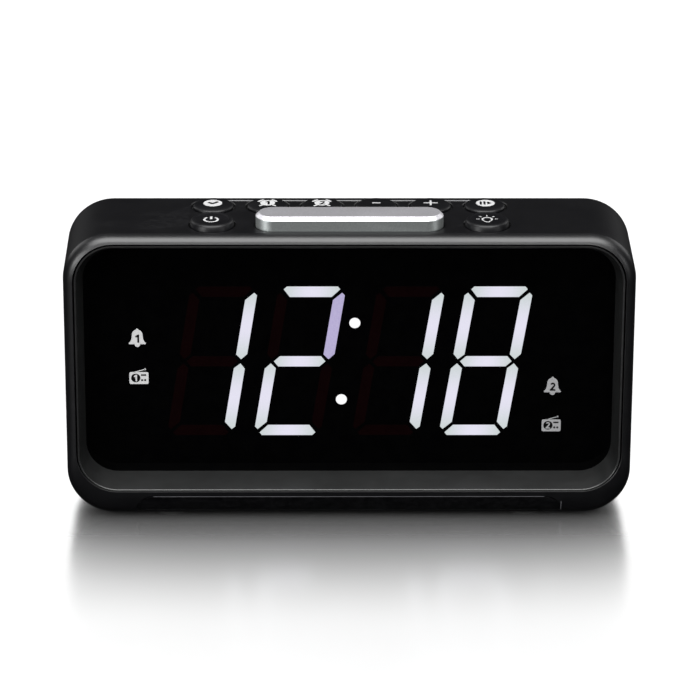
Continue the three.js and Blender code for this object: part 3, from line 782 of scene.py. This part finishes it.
def makeDisplay():
    lit = [(place, letter) for place, figure in enumerate(digit["time"]) for letter in segmentsOf[figure]]
    every = [(place, letter) for place in range(4) for letter in "abcdefg"]
    front = bezel["window"] - digit["thick"]
    makeSegments("digits_lit", lit, litSegment, front)
    makeSegments("digits_unlit", [entry for entry in every if entry not in lit], unlitSegment, front + 0.02)
    back = front + digit["thick"]
    for side, word in ((1, "upper"), (-1, "lower")):
        z = side * digit["dotZ"]
        x = digit["dotX"] + z * digit["slant"]
        dot = rod("colon_dot_" + word, digit["dotRadius"], x, digit["centreZ"] + z, front, back)
        finishPiece(dot, litDot, "radio")


makeDisplay()
print("display ready")


# Printed marks: flat outlines with a little ink height, on the window or on a key
def arc(across, up, degrees, x=0.0, v=0.0):
    return [(x + across * cos(radians(a)), v + up * sin(radians(a))) for a in degrees]


def disc(radius, x=0.0, v=0.0, sides=40):
    return arc(radius, radius, [360 * i / sides for i in range(sides)], x, v)


def arcBand(inner, outer, start, end, x=0.0, v=0.0, steps=24):
    angles = [mixed(start, end, i / steps) for i in range(steps + 1)]
    return arc(outer, outer, angles, x, v) + arc(inner, inner, angles[::-1], x, v)


def bar(x0, v0, x1, v1, width):
    length = hypot(x1 - x0, v1 - v0)
    nx, nv = (v0 - v1) / length * width / 2, (x1 - x0) / length * width / 2
    return [(x0 + nx, v0 + nv), (x0 - nx, v0 - nv), (x1 - nx, v1 - nv), (x1 + nx, v1 + nv)]


def roundedPlate(halfWidth, low, high, radius, x=0.0):
    return [(x + across, up) for across, up in roundedOutline(halfWidth, low, high, radius, 5)]


def makePrint(name, outlines, material, body, place, ink=0.03):
    points, faces = [], []
    for outline in outlines:
        base, count = len(points), len(outline)
        points += [place(u, v, 0.0) for u, v in outline] + [place(u, v, ink) for u, v in outline]
        faces.append(tuple(range(base, base + count)))
        faces.append(tuple(range(base + count, base + 2 * count)))
        for i in range(count):
            j = (i + 1) % count
            faces.append((base + i, base + j, base + count + j, base + count + i))
    piece = makePiece(name, points, faces)
    return finishPiece(piece, material, body)


def onWindow(x, z, lift=0.0):
    return lambda u, v, ink: (x + u, bezel["window"] + 0.01 - lift - ink, z + v)


def onKey(keyName, lift=0.0):
    x, y = keyPlaces[keyName]
    top = radio["height"] + profileOf(keyName)[-1][1] - 0.01 + lift
    return lambda u, v, ink: (x + u, y + v, top + ink)


figureOne = [(-0.02, -0.5), (0.2, -0.5), (0.2, 0.5), (0.04, 0.5), (-0.27, 0.29), (-0.17, 0.1), (-0.02, 0.19)]


def figureTwo():
    bowl = arc(0.31, 0.29, range(160, -41, -20), 0.0, 0.21)
    hollow = arc(0.12, 0.1, range(-40, 161, 20), 0.0, 0.21)
    return bowl + [(0.02, -0.31), (0.32, -0.31), (0.32, -0.5), (-0.33, -0.5), (-0.33, -0.36)] + hollow


def makeNumeral(name, figure, height, material, body, place, x=0.0, v=0.0):
    shape = figureOne if figure == "1" else figureTwo()
    outline = [(x + height * across, v + height * up) for across, up in shape]
    return makePrint(name, [outline], material, body, place)


def bellOutline():
    right = [(0.0, 2.45), (0.24, 2.36), (0.3, 2.14), *arc(1.28, 1.3, range(70, -1, -10), 0.0, 0.86)]
    right += [(1.34, 0.2), (1.46, -0.45), (1.72, -0.95), (2.05, -1.3), (2.06, -1.52), (1.86, -1.62)]
    right.append((0.66, -1.62))
    right += arc(0.62, -0.62, range(10, 91, 16), 0.0, -1.72)
    return right + [(-x, v) for x, v in reversed(right) if x > 0.01]


windowMarks = [
    {"kind": "bell", "figure": "1", "x": -50.85, "z": 43.37, "material": printWhite},
    {"kind": "radio", "figure": "1", "x": -50.6, "z": 33.12, "material": printWhite},
    {"kind": "bell", "figure": "2", "x": 49.1, "z": 30.8, "material": printGrey},
    {"kind": "radio", "figure": "2", "x": 49.0, "z": 20.65, "material": printGrey},
]


def makeWindowMarks():
    for mark in windowMarks:
        name = mark["kind"] + "_mark_" + mark["figure"]
        base, over, top = (onWindow(mark["x"], mark["z"], lift) for lift in (0.0, 0.02, 0.04))
        if mark["kind"] == "bell":
            makePrint(name, [bellOutline()], mark["material"], "radio", base)
            makeNumeral(name + "_figure", mark["figure"], 2.1, printBlack, "radio", over, 0.05, -0.15)
            continue
        aerial = [bar(-1.1, 1.35, 1.45, 2.12, 0.2), disc(0.22, 1.5, 2.14)]
        makePrint(name, [roundedPlate(2.3, -1.72, 1.4, 0.4), *aerial], mark["material"], "radio", base)
        scale = [bar(0.5, 0.62, 1.75, 0.62, 0.4), disc(0.26, 0.77, -0.7), disc(0.26, 1.5, -0.7)]
        makePrint(name + "_dial", [disc(1.12, -0.78, -0.14), *scale], printBlack, "radio", over)
        makeNumeral(name + "_figure", mark["figure"], 1.7, mark["material"], "radio", top, -0.8, -0.14)


makeWindowMarks()


# Round keys with their stems, and the marks printed on them
def makeKeys():
    height = radio["height"]
    for keyName, (x, y) in keyPlaces.items():
        node = keyName + "_button"
        low, radius = lowestOf(node), keys["stemRadius"]
        cap = turned(keyName + "_key", [(0.0, -keys["sink"]), *profileOf(keyName)], x, y, height)
        stemY = keys["frontStemY"] if isFront(keyName) else y
        profile = [(0.0, low), (radius, low), (radius, height), (0.0, height)]
        carve(cap, [turned("post", profile, x, stemY, 0.0, sides=24)], "UNION")
        finishPiece(cap, keyBlack, node, [node], crease=50)


def makeKeyMarks():
    def put(keyName, part, outlines, material, lift=0.0):
        makePrint(keyName + "_" + part, outlines, material, keyName + "_button", onKey(keyName, lift))

    put("clock", "disc", [disc(2.25, -0.1, -0.2)], printWhite)
    hands = [bar(-1.15, 0.35, -0.1, -0.8, 0.75), bar(-0.3, -0.8, 1.15, 0.75, 0.75)]
    put("clock", "hands", hands, printBlack, 0.02)
    put("play", "disc", [disc(2.25, 0.1, -0.2)], printWhite)
    bars = [bar(x, 0.9, x, -1.3, 0.5) for x in (-1.0, -0.1)]
    put("play", "arrow", [*bars, [(0.55, 0.85), (0.55, -1.25), (1.65, -0.2)]], printBlack, 0.02)
    for figure in "12":
        keyName = "alarm_" + figure
        ears = [arcBand(2.0, 2.6, start, start + 44) for start in (22, 114)]
        legs = [bar(1.2 * side, -1.4, 1.95 * side, -2.15, 0.5) for side in (-1, 1)]
        put(keyName, "dial", [disc(1.8)], printWhite)
        put(keyName, "bells", [*ears, *legs], printWhite)
        place = onKey(keyName, 0.02)
        makeNumeral(keyName + "_figure", figure, 2.3, printBlack, keyName + "_button", place, 0.05)
    put("minus", "sign", [bar(-1.0, 0.0, 1.0, 0.0, 0.5)], printWhite)
    arms = [bar(0.0, 0.26 * side, 0.0, 1.6 * side, 0.46) for side in (1, -1)]
    put("plus", "sign", [bar(-1.7, 0.0, 1.7, 0.0, 0.46), *arms], printWhite)
    hoop = arcBand(1.35, 1.85, -235, 55, -0.2, -0.4)
    put("power", "mark", [hoop, bar(-0.2, -0.1, -0.2, 1.7, 0.55)], printWhite)
    starts, ends = (arc(radius, radius, (2, 46, 90, 134, 178), 0.0, -0.1) for radius in (1.85, 2.6))
    rays = [bar(*start, *end, 0.3) for start, end in zip(starts, ends)]
    bulb = [arcBand(0.95, 1.35, -50, 230, 0.0, -0.2), arcBand(0.5, 0.9, 200, 340, 0.0, -1.3)]
    put("light", "mark", [*bulb, *rays], printWhite)


makeKeys()
makeKeyMarks()


def makeSnoozeBar():
    top, low = radio["height"] + snooze["height"], lowestOf("snooze_bar")
    rings = [
        flatRing(top, roundedOutline(*grown(snoozeOutline, -snooze["chamfer"]))),
        flatRing(top - snooze["chamfer"], roundedOutline(*snoozeOutline)),
        flatRing(radio["height"] - keys["sink"], roundedOutline(*snoozeOutline)),
    ]
    piece = softenEdges(loft("snooze_key", rings), snooze["soft"])
    half, front, toeTop = stem["halfWidth"], stem["front"], low + stem["footHeight"]
    leg = boxPiece("leg", (-half, front, low + 0.01), (half, stem["back"], radio["height"]))
    toe = boxPiece("toe", (-half, front + 0.01, low), (half, stem["footBack"], toeTop))
    carve(piece, [leg, toe], "UNION")
    finishPiece(piece, silverPaint, "snooze_bar", ["snooze_bar"], crease=20)


makeSnoozeBar()

# Pale line let into the top, behind the rear keys
line = {"half": 32.6, "y": 24.9, "width": 0.5, "sunk": 0.005, "proud": 0.05}


def makeAccentLine():
    low, high = line["y"] - line["width"] / 2, line["y"] + line["width"] / 2
    outline = roundedOutline(line["half"], low, high, line["width"] / 2 - 0.01, 6)
    rings = [flatRing(radio["height"] + line[level], outline) for level in ("sunk", "proud")]
    finishPiece(loft("accent_line", rings), accentLine, "radio")


makeAccentLine()
print("keys ready")

# Rear cover: an edge plate inside the sleeve and a raised housing with its openings
cover = {"plate": 2.0, "gap": 0.3, "halfWidth": 58.0, "low": 2.6, "high": 60.0, "radius": 9.0, "taper": 2.0,
         "edge": 2.0, "wall": 1.8, "plateEdge": 0.3}
grille = {"x": -29.0, "z": 32.0, "radius": 20.0, "rows": 9, "pitch": 3.6, "slot": 1.5, "margin": 2.5}
door = {"x": 27.0, "halfWidth": 23.4, "low": 8.6, "high": 30.8, "radius": 2.5, "gripWidth": 12.0,
        "gripHeight": 2.4, "gripDepth": 0.8, "gripBelow": 2.0, "ribs": 3}
doorOutline = (door["halfWidth"], door["low"], door["high"], door["radius"])
label = {"x": 16.0, "z": 45.0, "width": 24.0, "height": 14.0, "thickness": 0.35, "sink": 0.5, "gap": 0.3}
jack = {"x": 47.0, "z": 45.0, "side": 9.0, "depth": 11.0, "bore": 3.2, "boreDepth": 9.0, "leadIn": 0.5,
        "pin": 1.0, "pinRecess": 4.6, "sink": 0.2}
bush = {"x": 34.0, "z": 46.0, "radius": 2.4, "flange": 3.6, "hole": 0.8, "length": 4.0}
screw = {"head": 2.3, "headHeight": 0.9, "seat": 1.2, "shank": 1.2, "length": 7.0, "slot": 0.8, "reach": 1.6}
screwPlaces = [(-50.0, 65.0), (50.0, 65.0), (-62.0, 14.0), (62.0, 14.0)]
coverBack = radio["sleeveBack"] - cover["gap"]


def uprightSlab(name, front, back, outline, x=0.0, steps=None):
    points = roundedOutline(*outline, steps)
    return loft(name, [uprightRing(front, points, x), uprightRing(back, points, x)])


def housing(y, inset, lift):
    half, low, high = cover["halfWidth"] - inset, cover["low"] + lift, cover["high"] - inset
    return y, (half, low, high, cover["radius"] - lift / 2)


def makeRearCover():
    back, thick, taper, edge, gap = radio["back"], cover["wall"], cover["taper"], cover["edge"], cover["gap"]
    plateFront = coverBack - cover["plate"]
    plate = shell["wall"] + gap
    stations = [
        housing(back - thick, taper + thick, thick),
        housing(plateFront, thick, thick),
        (plateFront, bodyOutline(plate)),
        (coverBack - cover["plateEdge"], bodyOutline(plate)),
        (coverBack, bodyOutline(plate + cover["plateEdge"])),
        housing(coverBack, -0.25, -0.1),
        housing(coverBack + 0.4, 0.0, 0.0),
        housing(back - edge, taper, 0.0),
    ]
    for degrees in range(15, 91, 15):  # rounded rear edge of the housing
        turn = radians(degrees)
        inward = edge * (1 - cos(turn))
        stations.append(housing(back - edge * (1 - sin(turn)), taper + inward, inward))
    piece = loft("back_cover", uprightRings(stations))
    inside = back - thick - taper - edge
    cutters = []
    for row in range(grille["rows"]):
        offset = (row - (grille["rows"] - 1) / 2) * grille["pitch"]
        half = sqrt(grille["radius"] ** 2 - offset ** 2) - grille["margin"]
        z, reach = grille["z"] + offset, grille["slot"] / 2
        outline = (half, z - reach, z + reach, reach - 0.02)
        cutters.append(uprightSlab("slot", back - thick - 1, back + 1, outline, grille["x"], 6))
    for x, z in screwPlaces:
        cutters.append(rod("hole", screw["shank"] + gap, x, z, plateFront - 1, coverBack + 1))
        cutters.append(rod("seat", screw["head"] + gap, x, z, coverBack - screw["seat"], coverBack + 1))
    halfLabel, upLabel = label["width"] / 2 + label["gap"], label["height"] / 2 + label["gap"]
    outline = (halfLabel, label["z"] - upLabel, label["z"] + upLabel, 1.0)
    cutters.append(uprightSlab("labelSeat", back - label["sink"], back + 1, outline, label["x"], 8))
    cutters.append(uprightSlab("doorway", inside, back + 1, grown(doorOutline, gap), door["x"], 10))
    reach = jack["side"] / 2 + gap
    outline = (reach, jack["z"] - reach, jack["z"] + reach, 0.6)
    cutters.append(uprightSlab("jackHole", inside, back + 1, outline, jack["x"], 6))
    cutters.append(rod("bushHole", bush["radius"] + gap, bush["x"], bush["z"], inside, back + 1))
    carve(piece, cutters)
    finishPiece(piece, satinBlack, "radio", ["rear_cover"], crease=32)


def makeDoor():
    back = radio["back"]
    piece = uprightSlab("battery_lid", back - cover["wall"], back, doorOutline, door["x"], 10)
    softenEdges(piece, 0.25)
    top = door["high"] - door["gripBelow"]
    grip = (door["gripWidth"] / 2, top - door["gripHeight"], top, 1.1)
    carve(piece, [uprightSlab("grip", back - door["gripDepth"], back + 1, grip, door["x"], 8)])
    cutters = []
    for i in range(door["ribs"]):  # grooves for the thumb under the grip
        z = top - door["gripHeight"] - 1.6 - 1.4 * i
        half = door["gripWidth"] / 2 - 1.1 * i
        outline = (half, z - 0.3, z + 0.3, 0.28)
        cutters.append(uprightSlab("groove", back - 0.35, back + 1, outline, door["x"], 6))
    carve(piece, cutters)
    finishPiece(piece, satinBlack, "battery_door", ["battery_door"], crease=32)


def makeInlet():
    back = radio["back"] - jack["sink"]
    half = jack["side"] / 2
    outline = (half, jack["z"] - half, jack["z"] + half, 0.5)
    body = uprightSlab("inlet_body", back - jack["depth"], back, outline, jack["x"], 5)
    softenEdges(body, 0.2)
    floor, radius, lead = back - jack["boreDepth"], jack["bore"], jack["leadIn"]
    profile = [(0.0, floor), (radius, floor), (radius, back - lead), (radius + lead, back),
               (radius + lead, back + 1), (0.0, back + 1)]
    carve(body, [turned("bore", profile, jack["x"], 0.0, jack["z"], upright=False)])
    finishPiece(body, componentBlack, "radio", ["power_inlet"], crease=32)
    tip = radio["back"] - jack["pinRecess"]
    profile = [(0.0, floor + 0.02), (jack["pin"], floor + 0.02), (jack["pin"], tip - 0.5),
               (jack["pin"] - 0.2, tip - 0.15), (0.5, tip), (0.0, tip)]
    pin = turned("inlet_pin", profile, jack["x"], 0.0, jack["z"], upright=False, sides=32)
    finishPiece(pin, tinPlate, "radio")


def makeLabel():
    front = radio["back"] - label["sink"] + 0.05
    half = label["height"] / 2
    outline = (label["width"] / 2, label["z"] - half, label["z"] + half, 0.8)
    piece = uprightSlab("blank_plate", front, front + label["thickness"], outline, label["x"], 8)
    softenEdges(piece, 0.06)
    finishPiece(piece, labelGrey, "radio", ["blank_label"])
    band = []
    for z in (label["z"] - half + 1.8, label["z"] + half - 1.8):  # two plain printed rules, no lettering
        band.append(roundedPlate(label["width"] / 2 - 1.4, z - 0.12, z + 0.12, 0.1, label["x"]))
    level = front + label["thickness"] - 0.005
    makePrint("blank_plate_rules", band, printBlack, "radio", lambda u, v, ink: (u, level + ink, v))


def makeBush():
    back = radio["back"]
    front = back - bush["length"]
    flangeBack = back - cover["wall"] - 0.3
    hole, radius = bush["hole"], bush["radius"]
    profile = [(hole, front), (bush["flange"], front), (bush["flange"], flangeBack), (radius, flangeBack),
               (radius, back - 0.4), (radius - 0.4, back - 0.02), (hole + 0.5, back), (hole, back - 0.4)]
    rings = [uprightRing(y, disc(r, 0.0, bush["z"], 48), bush["x"]) for r, y in profile]
    piece = loft("wire_bush", rings, closed=True)
    finishPiece(piece, blackRubber, "radio", ["antenna_bush"])


def makeScrews():
    back = coverBack
    for number, (x, z) in enumerate(screwPlaces, 1):
        under = back - screw["headHeight"]
        profile = [(0.0, back - screw["length"]), (0.35, back - screw["length"])]
        for i in range(14):  # thread as a row of ridges
            y = mixed(back - screw["length"] + 0.6, under - 0.3, i / 13)
            profile += [(screw["shank"] - 0.28, y - 0.13), (screw["shank"], y)]
        profile += [(screw["shank"] - 0.2, under), (screw["head"], under), (screw["head"], under + 0.25),
                    (screw["head"] - 0.25, back - 0.25), (screw["head"] - 0.8, back - 0.06), (0.0, back)]
        piece = turned("cover_screw_" + str(number), profile, x, 0.0, z, upright=False, sides=40)
        reach, half = screw["reach"], screw["slot"] / 2
        deep = back - screw["headHeight"] / 2
        across = boxPiece("across", (x - reach, deep, z - half), (x + reach, back + 1, z + half))
        upright = boxPiece("upright", (x - half, deep, z - reach), (x + half, back + 1, z + reach))
        carve(piece, [across, upright])
        finishPiece(piece, zincSteel, "radio", ["rear_screw_" + str(number)])


makeRearCover()
makeDoor()
makeInlet()
makeLabel()
makeBush()
makeScrews()
print("back ready")

# Feet: moulded rubber pads with a soft edge and a shallow ring in the sole
pad = {"soft": 0.22, "ring": 3.0, "ringWidth": 0.4, "ringDepth": 0.18}


def makeFeet():
    for node in ("front_foot_left", "front_foot_right", "rear_foot_left", "rear_foot_right"):
        low, high = ((bound - corner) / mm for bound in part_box(node))
        x, y, radius = (low.x + high.x) / 2, (low.y + high.y) / 2, (high.x - low.x) / 2
        soft, ring, wide, deep = pad["soft"], pad["ring"], pad["ringWidth"], pad["ringDepth"]
        profile = [(0.0, low.z), (ring - wide, low.z), (ring - wide, low.z + deep), (ring, low.z + deep),
                   (ring, low.z), (radius - soft, low.z), (radius - 0.3 * soft, low.z + 0.3 * soft),
                   (radius, low.z + soft), (radius, high.z), (0.0, high.z)]
        piece = turned(node.replace("foot", "pad"), profile, x, y, 0.0, sides=64)
        finishPiece(piece, blackRubber, "radio", [node])


makeFeet()

# What sits inside keeps its own solids and takes a finish
switches = [keyName + "_switch" for keyName in (*keyPlaces, "snooze")]
innerFinish = [
    (boardGreen, ["display_board", "main_board", "key_board", "night_light_board"]),
    (componentBlack, ["supply_capacitor", "display_connector", "key_connector", *switches]),
    (tinPlate, ["tuner_shield", "speaker_frame"]),
    (speakerPaper, ["speaker_cone"]),
    (ferriteGrey, ["speaker_magnet"]),
    (cellJacket, ["backup_cell_1", "backup_cell_2"]),
    (zincSteel, ["battery_contact_left", "battery_contact_right"]),
    (displayBlack, ["display_module"]),
]
for material, nodeNames in innerFinish:
    for nodeName in nodeNames:
        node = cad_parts[nodeName]
        node.data.materials.clear()
        node.data.materials.append(material)
print("inside ready")

# Stage: pale floor, soft lights, camera
stage = {
    "floorHalf": 4.0, "floorColour": (0.9, 0.9, 0.9), "fade": 0.078,
    "sky": (1.0, 1.0, 1.0), "surround": 0.012,
    "tentHalf": 3.0, "tentHeight": 3.0, "tentGlow": 1.3,
    "radioAim": (0.0, 0.0, 0.04), "barAim": (0.0, 0.0, 0.07),
}
view = {"lens": 208.76, "sensor": 36.0, "distance": 0.9667, "pitch": 22.3, "yaw": -0.61, "roll": 0.21,
        "aim": (0.12, 0.0, 43.51)}
softboxes = [
    {"name": "overheadSoftbox", "place": (0.0, -0.42, 1.12), "size": (1.8, 1.0), "power": 50.0},
    {"name": "frontSoftbox", "place": (0.0, -1.08, 0.62), "size": (1.6, 0.5), "power": 6.5},
    {"name": "leftCard", "place": (-0.85, -0.75, 0.2), "size": (0.5, 0.36), "power": 6.5},
    {"name": "rightCard", "place": (0.95, -0.65, 0.2), "size": (0.3, 0.36), "power": 1.4},
    {"name": "rearLeftSoftbox", "place": (-1.1, 0.8, 0.6), "size": (0.8, 0.8), "power": 3.5},
    {"name": "rearRightSoftbox", "place": (1.1, 0.8, 0.6), "size": (0.8, 0.8), "power": 3.5},
]
barCards = [
    {"name": "barCardLeft", "place": (-0.75, -0.6, 0.1), "size": (0.45, 0.3), "power": 18.0},
    {"name": "barCardRight", "place": (0.85, -0.5, 0.1), "size": (0.25, 0.3), "power": 8.0},
]


# Share of polish on the floor: full beside the radio, gone a little way out
def addPolish(tree, half):
    parts = splitAxes(tree, objectPlace(tree))
    squares = []
    for axis, reach in (("X", half.x), ("Y", half.y)):
        outside = addMath(tree, "SUBTRACT", addMath(tree, "ABSOLUTE", parts[axis]), reach)
        outside = addMath(tree, "MAXIMUM", outside, 0.0)
        squares.append(addMath(tree, "MULTIPLY", outside, outside))
    distance = addMath(tree, "SQRT", addMath(tree, "ADD", *squares))
    return addRange(tree, distance, 0.0, stage["fade"], 1.0, 0.0)


def makeFloor():
    half = stage["floorHalf"]
    mesh = bpy.data.meshes.new("floor")
    corners = [(-half, -half, 0), (half, -half, 0), (half, half, 0), (-half, half, 0)]
    mesh.from_pydata(corners, [], [(0, 1, 2, 3)])
    floor = bpy.data.objects.new("floor", mesh)
    bpy.context.scene.collection.objects.link(floor)
    colour = stage["floorColour"]
    paper = surface("floorSheet", base=colour, light=tuple(0.98 * part for part in colour),
                    rough=(0.22, 0.27), grain=(900.0, 0.0005), mottle=8.0, wear=0.0, dust=0.0, specular=0.2)
    tree = paper.node_tree
    tree.links.new(addPolish(tree, crown), shaderOf(tree).inputs["Metallic"])
    mesh.materials.append(paper)
    floor.visible_glossy = False
    return floor


def addLight(name, place, aim, size, power, receivers):
    light = bpy.data.lights.new(name, "AREA")
    light.shape = "RECTANGLE"
    light.size, light.size_y = size
    light.energy = power
    lamp = bpy.data.objects.new(name, light)
    bpy.context.scene.collection.objects.link(lamp)
    lamp.location = place
    lamp.rotation_euler = (Vector(aim) - Vector(place)).to_track_quat("-Z", "Y").to_euler()
    lamp.visible_camera = False
    lamp.light_linking.receiver_collection = receivers


# A light tent that only the floor sees, so the floor stays white while the radio mirrors a dark room
def makeTent(floorOnly):
    half, height, glow = stage["tentHalf"], stage["tentHeight"], stage["tentGlow"] * pi
    middle = height / 2
    walls = {"Back": (0.0, half), "Front": (0.0, -half), "Left": (-half, 0.0), "Right": (half, 0.0)}
    for word, (x, y) in walls.items():
        size = (2 * half, height)
        addLight("tent" + word, (x, y, middle), (0.0, 0.0, middle), size, glow * size[0] * size[1], floorOnly)
    size = (2 * half, 2 * half)
    addLight("tentTop", (0.0, 0.0, height), (0.0, 0.0, 0.0), size, glow * size[0] * size[1], floorOnly)


def makeStage():
    scene = bpy.context.scene
    floor = makeFloor()
    floorOnly = bpy.data.collections.new("litByTent")
    floorOnly.objects.link(floor)
    radioOnly = bpy.data.collections.new("litBySoftboxes")
    radioOnly.objects.link(floor)
    radioOnly.collection_objects[0].light_linking.link_state = "EXCLUDE"
    makeTent(floorOnly)
    for box in softboxes:
        addLight(box["name"], box["place"], stage["radioAim"], box["size"], box["power"], radioOnly)
    barOnly = bpy.data.collections.new("litByBarCards")
    barOnly.objects.link(bpy.data.objects["snooze_key"])
    for card in barCards:
        addLight(card["name"], card["place"], stage["barAim"], card["size"], card["power"], barOnly)
    world = bpy.data.worlds.new("studio")
    scene.world = world
    world.use_nodes = True
    tree = world.node_tree
    tree.nodes.clear()
    path = tree.nodes.new("ShaderNodeLightPath")
    seen = addNode(tree, "ShaderNodeBackground", None, {"Color": (*stage["sky"], 1), "Strength": 1.0})
    lit = addNode(tree, "ShaderNodeBackground", None, {"Color": (1, 1, 1, 1), "Strength": stage["surround"]})
    either = tree.nodes.new("ShaderNodeMixShader")
    output = tree.nodes.new("ShaderNodeOutputWorld")
    tree.links.new(path.outputs["Is Camera Ray"], either.inputs["Fac"])
    tree.links.new(lit.outputs["Background"], either.inputs[1])
    tree.links.new(seen.outputs["Background"], either.inputs[2])
    tree.links.new(either.outputs["Shader"], output.inputs["Surface"])
    scene.view_settings.view_transform = "Standard"


def makeCamera():
    scene = bpy.context.scene
    data = bpy.data.cameras.new("camera")
    data.lens = view["lens"]
    data.sensor_width = view["sensor"]
    data.clip_start, data.clip_end = 0.05, 20.0
    camera = bpy.data.objects.new("camera", data)
    scene.collection.objects.link(camera)
    turn = Matrix.Rotation(radians(view["yaw"]), 3, "Z")
    tilt = Matrix.Rotation(radians(90 - view["pitch"]), 3, "X")
    lean = Matrix.Rotation(radians(view["roll"]), 3, "Z")
    basis = turn @ tilt @ lean
    aim = turn @ Vector(view["aim"]) * mm + corner
    camera.location = aim + basis @ Vector((0.0, 0.0, view["distance"]))
    camera.rotation_euler = basis.to_euler()
    scene.camera = camera


makeStage()
makeCamera()
print("stage ready")
